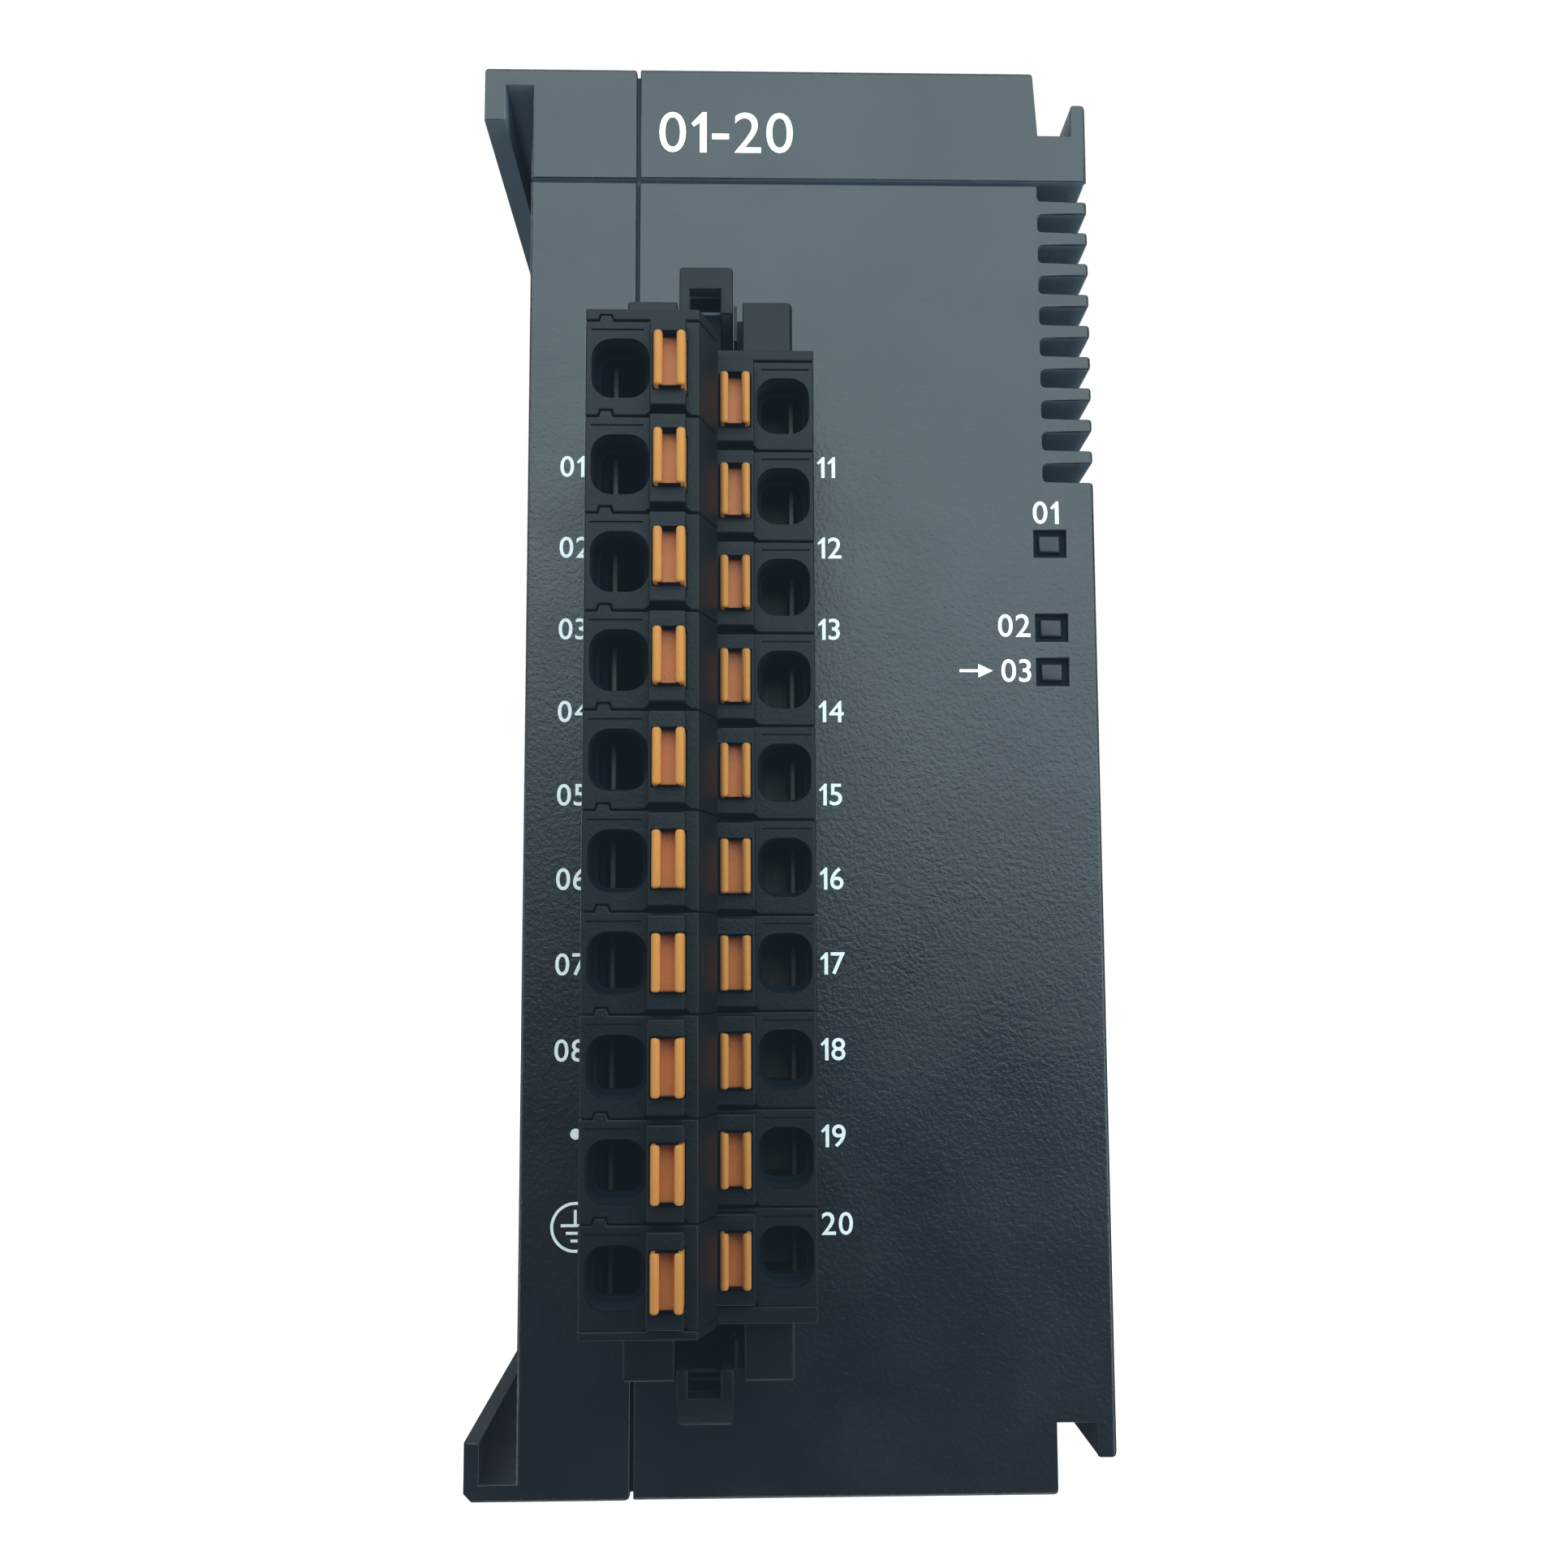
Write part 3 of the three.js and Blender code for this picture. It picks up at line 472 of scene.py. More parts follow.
def clear_plastic(name, colour):
    """Smoky, faintly see-through plastic."""
    s = Shader(name)
    cloud = s.remap(s.noise(1400, 3), *WIDE)
    s.set(
        Base_Color=s.mix(cloud, scaled(colour, 0.85), colour),
        Roughness=s.remap(cloud, 0, 1, 0.3, 0.42),
        Specular_IOR_Level=0.3,
        Normal=s.bump(s.noise(2600, 2), 0.01 * MM, 0.5),
        Transmission_Weight=0.15,
    )
    return s.material


FINE = {"grain": 5200, "depth": 0.007, "swell": 0.05}
SHELL = moulded("shell_grey", (0.0054, 0.0064, 0.0096), 0.31)
# Painted light: a much paler copy of the shell's grey for the comb's slot roofs, the groove and the
# hook's inside. It stands in for the light that reaches into these recesses.
SHELL_RECESS_PAINTED_LIGHT = moulded("shell_recess_painted_light", (0.110, 0.150, 0.180), 0.6, edge_wear_and_highlight=0.1, shine=0.2)
# Painted light: a paler grey for the upper seam rib and the top lever's window. It stands in for the
# light that reaches into these narrow gaps near the top, while their lower twins get painted shade.
SEAM_PAINTED_LIGHT = moulded("seam_painted_light", (0.034, 0.048, 0.060), 0.6, edge_wear_and_highlight=0.1, shine=0.1, **FINE)
PLUG_BLACK = moulded("plug_black", (0.0017, 0.0030, 0.0040), 0.46, shine=0.19, **FINE)
HEADER_BLACK = moulded("header_black", (0.0024, 0.0036, 0.0050), 0.44, shine=0.2, **FINE)
# Painted shade: a flat dark tone without gloss for the insides of wire holes and lamp recesses, the
# lower seam rib and the bottom lever's window. It stands in for the shade there.
INNER_PAINTED_SHADE = moulded("inner_painted_shade", (0.0095, 0.0140, 0.0190), 0.7, edge_wear_and_highlight=0.1, shine=0.0, **FINE)
CLIP_BLACK = moulded("clip_black", srgb(34, 38, 42), 0.42, grain=4600, depth=0.01)
ORANGE = moulded("pusher_orange", (0.40, 0.155, 0.030), 0.5, edge_wear_and_highlight=0.1, shine=0.2, **FINE)
# Painted shade and bounced light: a redder orange for the pushers' screwdriver channels. It stands in
# for the shade between the rails and the orange light bounced between them.
CHANNEL_SHADE_AND_BOUNCE_ORANGE = moulded("channel_painted_shade_and_bounce", (0.56, 0.180, 0.045), 0.4, edge_wear_and_highlight=0.1, shine=0.25, **FINE)
CONNECTOR_BLACK = moulded("connector_black", srgb(26, 27, 29), 0.38, grain=6000, depth=0.005)
CHIP_BLACK = moulded("chip_black", srgb(30, 31, 33), 0.55, grain=7000, depth=0.004)
FERRITE = moulded("ferrite_grey", srgb(66, 64, 66), 0.6, grain=3200, depth=0.012)
WHITE_INK = printed_ink("white_ink", srgb(244, 247, 247))
BOARD_GREEN = circuit_board("board_green")
SPRING_STEEL = metal("spring_steel", srgb(66, 66, 62), 0.5)
TINNED = metal("tinned", srgb(190, 188, 180), 0.28)
LENS = clear_plastic("lens_smoke", srgb(26, 32, 37))


# ---- housing shells ----

TOP = HOUSING_HIGH.z
BOTTOM = HOUSING_LOW.z
RIGHT = HOUSING_HIGH.x
WIDTH = 35
LEFT = RIGHT - WIDTH
SEAM = (HOUSING_LOW.x - 0.2, HOUSING_LOW.x)
BACK_Y = HOUSING_HIGH.y
TOUCH = 0.02


def near(value, *places):
    return any(abs(value - place) < TOUCH for place in places)


SHELL_RADII = {
    "edge": 0.28,
    "long_edge": 0.32,
    "seam_face": 0.09,
    "rib_end": 0.24,
    "side": 0.3,
    "level": 0.1,
    "upright": 0.06,
    "back": 0.25,
}
COMB = {"x": 14.3, "depth": 6, "low": 15.9}


def shell_rule(seam, seam_radius):
    """Roundings of a housing shell whose joint with the other one is at the seam."""

    def rule(edge):
        if not edge.convex or edge.turn < 60:
            return 0
        x, y, z = edge.middle
        outside = [near(x, RIGHT, LEFT), near(y, FACE_Y, BACK_Y), near(z, TOP, BOTTOM)]
        if edge.along == 1 and edge.length > 10:
            if near(x, seam):
                return seam_radius
            if abs(z) > TOP - 3:
                return SHELL_RADII["long_edge"]
        if near(x, seam) and near(y, FACE_Y):
            return SHELL_RADII["seam_face"]
        if sum(outside) >= 2:
            return SHELL_RADII["edge"]
        if near(x, RIGHT) and edge.along == 1 and edge.length > 3:
            return SHELL_RADII["rib_end" if z > COMB["low"] else "side"]
        if near(y, FACE_Y) and edge.length > 0.3:
            return SHELL_RADII["level" if edge.along == 0 else "upright"]
        if near(y, BACK_Y) and edge.length > 2:
            return SHELL_RADII["back"]
        return 0

    return rule


GROOVE = {"low": 36.05, "high": 36.35, "depth": 0.65}
CHANNEL = {"x": 14.2, "low": TOP - 4.25, "high": TOP - 0.4, "draft": 0.25}
SEAM_INSET = 0.42
SEAM_DEPTH = 0.9
PAST = 1


def fill_groove(x0, x1):
    """Closes the part of the CAD groove that lies above the visible one."""
    return block(x0, x1, FACE_Y, FACE_Y + PAST, GROOVE["high"], GROOVE["high"] + 0.3)


def groove(x0, x1):
    """The groove across the cap: deep enough to look dark from below."""
    back = FACE_Y + GROOVE["depth"]
    return block(x0 - PAST, x1 + PAST, FACE_Y - PAST, back, GROOVE["low"], GROOVE["high"])


def first_slot():
    """Lets the comb's top slot reach up to the cap."""
    back = FACE_Y + COMB["depth"]
    low = GROOVE["low"] + 0.05
    return block(COMB["x"], RIGHT + PAST, FACE_Y - PAST, back, low, GROOVE["high"])


def channel_draft():
    """The slanting side of the channel at the upper right."""
    x, low, high = CHANNEL["x"], CHANNEL["low"], CHANNEL["high"]
    root = x - 0.1
    outline = [(root, low), (x + CHANNEL["draft"], low), (x, high), (root, high)]
    return prism("y", outline, FACE_Y, BACK_Y)


# The shell's grey, then painted light for recesses, then painted shade.
SHELL_SKINS = [SHELL, SHELL_RECESS_PAINTED_LIGHT, INNER_PAINTED_SHADE]
LAMP_X = 14.67
LAMP_Z = (12.95, 7.68, 4.93)
LAMP_RECESS = {"half_x": 1.1, "half_z": 0.9, "depth": 2.5}
SKIN = 0.1


def behind_face(place, depth):
    """Whether a place lies between the face and a depth behind it."""
    return FACE_Y + SKIN < place.y < FACE_Y + depth


def comb_roof_painted_light(place, normal):
    """A paint rule: the roof of a slot between two ribs of the comb, which gets painted light."""
    level = COMB["low"] < place.z < GROOVE["high"] + TOUCH
    beside = place.x > COMB["x"] - 0.3
    return beside and level and normal.z < -0.5 and behind_face(place, COMB["depth"] + SKIN)


def groove_painted_light(place, _):
    """A paint rule: the inside of the groove across the cap, and of the comb's top slot, which get
    painted light.
    """
    level = GROOVE["low"] - TOUCH < place.z < GROOVE["high"] + TOUCH
    return level and behind_face(place, COMB["depth"] + TOUCH)


def lamp_recess_painted_shade(place, _):
    """A paint rule: the inside of a lamp's recess, which gets painted shade."""
    level = any(abs(place.z - z) < LAMP_RECESS["half_z"] for z in LAMP_Z)
    beside = abs(place.x - LAMP_X) < LAMP_RECESS["half_x"]
    return level and beside and behind_face(place, LAMP_RECESS["depth"])


def hook_painted_light(place, normal):
    """A paint rule: the inside of the upper hook, between its lip and the wall, which gets painted
    light.
    """
    beside = place.x < LEFT - TOUCH and 0 < place.z < TOP - 0.3
    return beside and normal.x > -0.5 and normal.y > -0.5


def either(first, second):
    return lambda place, normal: first(place, normal) or second(place, normal)


def housing():
    cover_side, housing_side = SEAM
    made = copy_of_cad("main_housing")
    join(made, fill_groove(housing_side, RIGHT), channel_draft())
    cut(made, groove(housing_side, COMB["x"] - 0.5), first_slot())
    round_edges(made, shell_rule(housing_side, 0.14))
    # The comb's slot roofs and the groove get painted light, the lamp recesses painted shade.
    paint(made, either(comb_roof_painted_light, groove_painted_light), lamp_recess_painted_shade)
    finish_piece(made, "housing_shell", "housing", SHELL_SKINS, ["main_housing"])
    cover = join(copy_of_cad("left_cover"), fill_groove(LEFT, cover_side))
    cut(cover, groove(LEFT, cover_side))
    round_edges(cover, shell_rule(cover_side, 0.3))
    # The groove and the hook's inside get painted light.
    paint(cover, either(hook_painted_light, groove_painted_light))
    finish_piece(cover, "cover_shell", "housing", SHELL_SKINS, ["left_cover"])


def seam_ribs():
    """Ribs that close the joint between the two shells a little below their surface. The upper rib
    gets painted light, the lower one painted shade.
    """
    front = FACE_Y + SEAM_INSET
    roof = TOP - SEAM_INSET
    base = BOTTOM + SEAM_INSET
    clear, lap = 0.3, 0.1
    upper = block(*SEAM, front, BACK_Y - PAST, roof - SEAM_DEPTH, roof)
    join(upper, block(*SEAM, front, front + SEAM_DEPTH, HEADER_HIGH.z + clear, roof - lap))
    finish_piece(upper, "seam_rib_upper", "housing", [SEAM_PAINTED_LIGHT])
    lower = block(*SEAM, front, BACK_Y - PAST, base, base + SEAM_DEPTH)
    join(lower, block(*SEAM, front, front + SEAM_DEPTH, base + lap, HEADER_LOW.z - clear))
    finish_piece(lower, "seam_rib_lower", "housing", [INNER_PAINTED_SHADE])


# ---- terminal header, levers ----

SOFT = 0.1
# The last slice's lip reaches below the plug's end
LIP_DROP = 0.39
PLUG_TOP = box("plug_end_plate")[1].z
PLUG_BASE = box(f"plug_slice_{ROWS[-1]}")[0].z + LIP_DROP
# The two ends of the header: the plug's end there, and which way is outwards
ENDS = {"top": (PLUG_TOP, 1), "bottom": (PLUG_BASE, -1)}
HEADER_FRONT = FACE_Y - HEADER_LOW.y
PIN_X = {"upper": -7.8, "lower": -4.5}
PIN_REACH = {"half": 0.5, "height": -3.35}
CORNER = {"size": 0.85, "foot": 0.12}
HEADER_RADII = {"right": 0.32, "outer": 0.2}
BLOCK_TOP = HEADER_HIGH.z + 0.2

# A guide rib beside each lever, on a web from the header's end block
GUIDE = {"x": (-4.81, -4.63), "distance": (1.9, 3.95), "height": (5.2, HEADER_FRONT - 0.12)}
GUIDE_WEB = {"x": (-4.7, -4.28), "height": (5.2, 5.6)}

# The latch levers. Distances run outwards from the plug's end, heights from the face
LEVER_X = (-7.94, -4.86)
LEG_X = (-7.33, -5.58)
INNER_X = (LEG_X[0] - 0.2, LEG_X[1] + 0.2)
PIVOT = {"distance": 2.55, "height": 1.6, "hub": 1.1, "width": 1.2, "reach": 0.75}
PAD = {"from": 3.46, "slope": 5.02, "tip": 6.5, "corner": 0.38}
PAD_UNDER = HEADER_FRONT - 1.3
WINDOW = {"start": 0.5, "end": 4.93, "floor": 4.6}
WEB = {"distance": (WINDOW["end"] - 0.12, WINDOW["end"] + 0.3), "height": (4.4, 6.9)}
BAR = {"distance": (3.48, 3.68), "height": (7.3, 7.7)}
# The insides of the lever windows: painted light in the top lever's, painted shade in the bottom
# one's.
WINDOW_LIGHT_AND_SHADE = {"top": SEAM_PAINTED_LIGHT, "bottom": INNER_PAINTED_SHADE}
OUTSIDE = 9


def plain_rule(radius, shortest=0.45, sharpest=50):
    """Rounds every convex edge that's long and sharp enough."""

    def rule(edge):
        wanted = edge.convex and edge.turn > sharpest and edge.length > shortest
        return radius if wanted else 0

    return rule


def header_rule(edge):
    if not edge.convex or edge.turn < 50:
        return 0
    x, y, z = edge.middle
    at_side = near(x, HEADER_LOW.x, HEADER_HIGH.x)
    at_end = near(z, HEADER_LOW.z, BLOCK_TOP)
    if at_side + at_end + near(y, HEADER_LOW.y) >= 2:
        return HEADER_RADII["right" if near(x, HEADER_HIGH.x) else "outer"]
    return SOFT if edge.length > 1 else 0


def span(end, outwards, distances):
    """The lowest and highest Z places of two distances from an end of the plug."""
    return sorted(end + outwards * distance for distance in distances)


def heights(low, high):
    """The Y places of two heights in front of the face, the outer one first."""
    return above(high), above(low)


def guide_rib(end, outwards):
    z_range = span(end, outwards, GUIDE["distance"])
    rib = block(*GUIDE["x"], *heights(*GUIDE["height"]), *z_range)
    return join(rib, block(*GUIDE_WEB["x"], *heights(*GUIDE_WEB["height"]), *z_range))


def is_pin(place, _):
    """A paint rule: the part of a pin that stands free in the header."""
    on_pin = any(abs(place.x - x) < PIN_REACH["half"] for x in PIN_X.values())
    return on_pin and place.y < above(PIN_REACH["height"]) and PLUG_BASE < place.z < PLUG_TOP


def header():
    made = copy_of_cad("terminal_header")
    size = CORNER["size"]
    depths = heights(CORNER["foot"], HEADER_FRONT)
    corners = [
        block(x0, x0 + size, *depths, z0, z0 + size)
        for x0 in (HEADER_LOW.x, HEADER_HIGH.x - size)
        for z0 in (HEADER_LOW.z, HEADER_HIGH.z - size)
    ]
    join(made, *corners)
    for v in made.data.vertices:
        if near(v.co.z, HEADER_HIGH.z):
            v.co.z = BLOCK_TOP
    round_edges(made, header_rule)
    paint(made, is_pin)
    skins = [HEADER_BLACK, TINNED]
    finish_piece(made, "header_body", "housing", skins, ["terminal_header"])
    for name, (end, outwards) in ENDS.items():
        rib = guide_rib(end, outwards)
        finish_piece(rib, f"guide_rib_{name}", "housing", [HEADER_BLACK])


def lever_side():
    """A lever's outline from the side, as distances and heights."""
    hub = arc(PIVOT["distance"], PIVOT["height"], PIVOT["hub"], 180, 360, 12)
    return hub + [
        (4.85, 5.0),
        (5.0, PAD_UNDER - 0.12),
        (PAD["tip"], PAD_UNDER),
        (PAD["tip"], HEADER_FRONT - 0.66),
        (PAD["tip"] - 0.16, HEADER_FRONT - 0.42),
        (PAD["slope"], HEADER_FRONT),
        (PAD["from"], HEADER_FRONT),
        (PAD["from"] - 0.4, PAD_UNDER),
    ]


def lever_plan():
    """A lever's outline from the front, with its tip's corners rounded."""
    x0, x1 = LEVER_X
    r = PAD["corner"]
    tip = PAD["tip"] - r
    right = arc(x1 - r, tip, r, 0, 90, 6)[1:]
    left = arc(x0 + r, tip, r, 90, 180, 6)
    return [(x1, 0), (x1, tip)] + right + left + [(x0, 0)]


def lever(name):
    """A latch lever: a finger pad on two legs, a cross bar between them and a pivot pin."""
    end, outwards = ENDS[name]
    x0, x1 = LEVER_X
    side = [(above(h), end + outwards * d) for d, h in lever_side()]
    made = prism("x", side, x0, x1)
    plan = [(x, end + outwards * d) for x, d in lever_plan()]
    keep(made, prism("y", plan, *heights(0, OUTSIDE)))
    opening = span(end, outwards, (WINDOW["start"], WINDOW["end"]))
    cut(made, block(*LEG_X, *heights(WINDOW["floor"], OUTSIDE), *opening))
    fillings = [
        block(*INNER_X, *heights(*part["height"]), *span(end, outwards, part["distance"]))
        for part in (WEB, BAR)
    ]
    join(made, *fillings)
    round_edges(made, plain_rule(0.09, 0.05, 60))

    # The window's inside is painted: painted light on the top lever, painted shade on the bottom one.
    def in_window_light_and_shade(place, _):
        beside = LEG_X[0] - TOUCH < place.x < LEG_X[1] + TOUCH
        inward = (place.z - end) * outwards < WINDOW["end"] + TOUCH
        return beside and inward and place.y > above(HEADER_FRONT - 0.2)

    paint(made, in_window_light_and_shade)
    width = PIVOT["width"]
    pivot_z = end + outwards * PIVOT["distance"]
    pin = rounded(above(PIVOT["height"]), pivot_z, width, width, width / 2 - 0.001, 8)
    join(made, prism("x", pin, x0 - PIVOT["reach"], x1 + PIVOT["reach"]))
    node = f"latch_lever_{name}"
    skins = [HEADER_BLACK, WINDOW_LIGHT_AND_SHADE[name]]
    finish_piece(made, f"lever_{name}", f"latch_{name}", skins, [node])


# ---- terminal plug ----

PUSH_TOP = {pole: FACE_Y - box(f"pusher_{pole}_01")[0].y for pole in POLES}
PUSH_X = {pole: centre(f"pusher_{pole}_01").x for pole in POLES}
PUSH_LOW, PUSH_HIGH = box("pusher_upper_01")
PUSH_WIDTH = PUSH_HIGH.x - PUSH_LOW.x
PUSH_HEIGHT = PUSH_HIGH.z - PUSH_LOW.z
PUSH_DEPTH = PUSH_HIGH.y - PUSH_LOW.y
ROW_Z = [centre(f"pusher_upper_{row}").z for row in ROWS]
PLUG_LOW, PLUG_HIGH = box("plug_slice_01")
HALF = ROW_Z[0] - PLUG_LOW.z

UPPER = {
    "name": "upper",
    "face": 17.3,
    "turret": 18.4,
    "turret_x": (-9.08, -7.23),
    "hole_x": -10.63,
    "hole": (3.0, 3.16),
    "pocket_x": (-11.5, -6.75),
    "pin_x": -7.8,
}
LOWER = {
    "name": "lower",
    "face": 11.5,
    "turret": 12.4,
    "turret_x": (-5.7, -3.71),
    "hole_x": -2.11,
    "hole": (2.9, 3.17),
    "pocket_x": (-5.95, -1.2),
    "pin_x": -4.5,
}
SLOPE = {"from": -6.57, "to": -5.7, "foot": 14.3}
SKIRT = 2.4
SPIGOT = {"x": (-9.4, -2.9), "end": -1.6}
TURRET_Z = (-2.3, 2.34)
FOOT = {"flare": 0.25, "depth": 0.8}
TAB = {"x": (-11.75, -11.0), "rise": 0.34, "depth": 2.2, "draft": 0.1}
TAB_PLAY = 0.05
MOUTH = {"radius": 1.05, "depth": 0.3}
WAIST = {"less": 0.3, "radius": 0.85, "depth": 2.3}
THROAT = {"width": 2.3, "height": 2.5, "radius": 0.6, "from": 1}
PUSHER_PLAY = 0.08
POCKET = {"depth": 3.05, "floor": 0.9, "wall": 0.7, "stem": 1.3, "pin_hole": 0.55}
LEDGE = {"below": (0.5, 0.4), "depth": 0.14}
SLICE_SOFT = 0.09
SLICE_SIDE = 0.14
LIP = {"foot": 8.6, "gap": 0.42}


def slice_section():
    x0, x1 = PLUG_LOW.x, PLUG_HIGH.x
    outline = [
        (SPIGOT["x"][0], SPIGOT["end"]),
        (SPIGOT["x"][1], SPIGOT["end"]),
        (SPIGOT["x"][1], SKIRT),
        (x1, SKIRT),
        (x1, LOWER["face"]),
        (SLOPE["to"], LOWER["face"]),
        (SLOPE["to"], SLOPE["foot"]),
        (SLOPE["from"], UPPER["face"]),
        (x0, UPPER["face"]),
        (x0, SKIRT),
        (SPIGOT["x"][0], SKIRT),
    ]
    return [(x, above(h)) for x, h in outline]


def turret(pole):
    """The raised block round a pusher."""
    return block(*pole["turret_x"], *heights(pole["face"] - 0.4, pole["turret"]), *TURRET_Z)


def foot_recess(pole):
    """The recess below a turret, which widens downwards."""
    x0, x1 = pole["turret_x"]
    flare = FOOT["flare"]
    outline = [
        (x0 - flare, -HALF - PAST),
        (x1 + flare, -HALF - PAST),
        (x1 + flare, -HALF),
        (x1, TURRET_Z[0]),
        (x0, TURRET_Z[0]),
        (x0 - flare, -HALF),
    ]
    return prism("y", outline, *heights(pole["face"] - FOOT["depth"], pole["turret"] + PAST))


def tab_outline(grow, low):
    x0, x1 = TAB["x"]
    top = HALF + TAB["rise"] + grow
    draft = TAB["draft"]
    return [
        (x0 - grow, low),
        (x1 + grow, low),
        (x1 + grow, HALF + grow),
        (x1 + grow - draft, top),
        (x0 - grow + draft, top),
        (x0 - grow, HALF + grow),
    ]


def tab(grow=0.0, low=1.0, shift=0.0):
    """The tab at a slice's top, or with some play round it the tool that cuts its slot."""
    outline = [(x, z + shift) for x, z in tab_outline(grow, low)]
    top = UPPER["face"] + (PAST if grow else 0)
    return prism("y", outline, *heights(UPPER["face"] - TAB["depth"] - grow, top))


def wire_entry(pole):
    """The funnel for a wire: a rounded square mouth, a slow taper, a ledge and a square throat."""
    width, height = pole["hole"]
    x = pole["hole_x"]
    face = pole["face"]
    less = WAIST["less"]
    mouth = rounded(x, 0, width, height, MOUTH["radius"])
    waist = rounded(x, 0, width - less, height - less, WAIST["radius"])
    rings = [
        (above(face + 0.5), mouth),
        (above(face - MOUTH["depth"]), mouth),
        (above(face - WAIST["depth"]), waist),
    ]
    throat = rounded(x, 0, THROAT["width"], THROAT["height"], THROAT["radius"])
    depths = heights(face - POCKET["depth"] - PAST, face - THROAT["from"])
    return [loft("y", rings), prism("y", throat, *depths)]


def pusher_shaft(pole):
    """The opening that a pusher slides in."""
    x = PUSH_X[pole["name"]]
    w = PUSH_WIDTH / 2 + PUSHER_PLAY
    h = PUSH_HEIGHT / 2 + PUSHER_PLAY
    depths = heights(pole["face"] - POCKET["depth"] - PAST, pole["turret"] + PAST)
    return block(x - w, x + w, *depths, -h, h)


def clamp_pocket(pole):
    """The room for a clamp, open towards the next slice, with the hole that a pin enters by."""
    wall = POCKET["wall"]
    z_range = (-HALF + POCKET["floor"], HALF + PAST)
    depths = heights(SKIRT + wall, pole["face"] - POCKET["depth"])
    body = block(*pole["pocket_x"], *depths, *z_range)
    x = pole["pin_x"]
    x0 = max(SPIGOT["x"][0] + wall, x - POCKET["stem"])
    x1 = min(SPIGOT["x"][1] - wall, x + POCKET["stem"])
    stem = block(x0, x1, *heights(SPIGOT["end"] + wall, SKIRT + wall + PAST), *z_range)
    half = POCKET["pin_hole"]
    hole = block(x - half, x + half, *heights(SPIGOT["end"] - PAST, SKIRT), -half, half)
    return [body, stem, hole]


def ledge_lines():
    """Fine grooves just under a slice's joint, on both faces."""
    z_range = [HALF - below for below in LEDGE["below"]]
    left = (PLUG_LOW.x + 0.3, UPPER["turret_x"][0] - 0.35, UPPER)
    right = (LOWER["turret_x"][1] + 0.4, PLUG_HIGH.x - 0.25, LOWER)
    return [
        block(x0, x1, *heights(pole["face"] - LEDGE["depth"], pole["face"] + PAST), *z_range)
        for x0, x1, pole in (left, right)
    ]


def slice_rule(edge):
    if not edge.convex or edge.turn < 50 or edge.length < 0.25:
        return 0
    at_side = near(edge.middle.x, PLUG_LOW.x, PLUG_HIGH.x) and edge.along == 2
    return SLICE_SIDE if at_side else SLICE_SOFT


def hole_painted_shade(pole):
    """A paint rule: the face belongs to the inside of a wire hole, which gets painted shade."""
    width, height = pole["hole"]

    def rule(place, _):
        beside = abs(place.x - pole["hole_x"]) < width / 2 + TOUCH
        level = abs(place.z) < height / 2 + TOUCH
        return beside and level and place.y > above(pole["face"] - LEDGE["depth"] - TOUCH)

    return rule


def slice_mesh(tab_slot=True):
    """One slice of the plug about its own mid plane."""
    poles = (UPPER, LOWER)
    body = prism("z", slice_section(), -HALF, HALF)
    body = join(body, tab(), *[turret(pole) for pole in poles])
    body = cut(body, *[foot_recess(pole) for pole in poles])
    if tab_slot:
        body = cut(body, tab(TAB_PLAY, HALF - 2, -2 * HALF - 0.06))
    round_edges(body, slice_rule, 2)
    tools = [t for pole in poles for t in wire_entry(pole) + [pusher_shaft(pole)]]
    body = cut(body, *tools)
    for pole in poles:
        body = cut(body, *clamp_pocket(pole))
    body = cut(body, *ledge_lines())
    # The insides of the wire holes get painted shade.
    return paint(body, *[hole_painted_shade(pole) for pole in poles])


def plug_slices():
    """The ten slices. The last has no slot for a tab below it."""
    # The plug's black, then painted shade for the insides of the wire holes.
    skins = [PLUG_BLACK, INNER_PAINTED_SHADE, INNER_PAINTED_SHADE]
    shape = take_mesh(slice_mesh())
    last = take_mesh(slice_mesh(tab_slot=False))
    for row, z in zip(ROWS, ROW_Z):
        mesh = last if row == ROWS[-1] else shape.copy()
        mesh.transform(Matrix.Translation((0, 0, z)))
        node = f"plug_slice_{row}"
        finish_piece(link("work", mesh), f"slice_{row}", "plug", skins, [node])


def floor_plate():
    """The plate that closes the last slice, with a lip in front of the lower face's foot."""
    low = box(f"plug_slice_{ROWS[-1]}")[0].z
    base = ROW_Z[-1] - HALF
    plate = prism("z", slice_section(), low + LIP["gap"], base)
    lip_y = heights(LIP["foot"], LOWER["face"])
    join(plate, block(SLOPE["to"], PLUG_HIGH.x, *lip_y, low, base - 0.1))
    round_edges(plate, slice_rule, 2)
    finish_piece(plate, "floor_plate", "plug", [PLUG_BLACK])


def end_plate():
    low, high = box("plug_end_plate")
    plate = prism("z", slice_section(), low.z, high.z)
    round_edges(plate, slice_rule, 2)
    notch = tab(TAB_PLAY, HALF - 2)
    notch.data.transform(Matrix.Translation((0, 0, ROW_Z[0])))
    cut(plate, notch)
    finish_piece(plate, "end_plate", "plug", [PLUG_BLACK], ["plug_end_plate"])


RAIL = 0.45
CHANNEL_DEPTH = 1.1
RAIL_END = 0.17
CHANNEL_END = 0.08
# How far the channel's painted shade and bounced orange reach beside it, and below its floor
CHANNEL_SHADE_REACH = {"beside": 0.03, "below": 0.15}


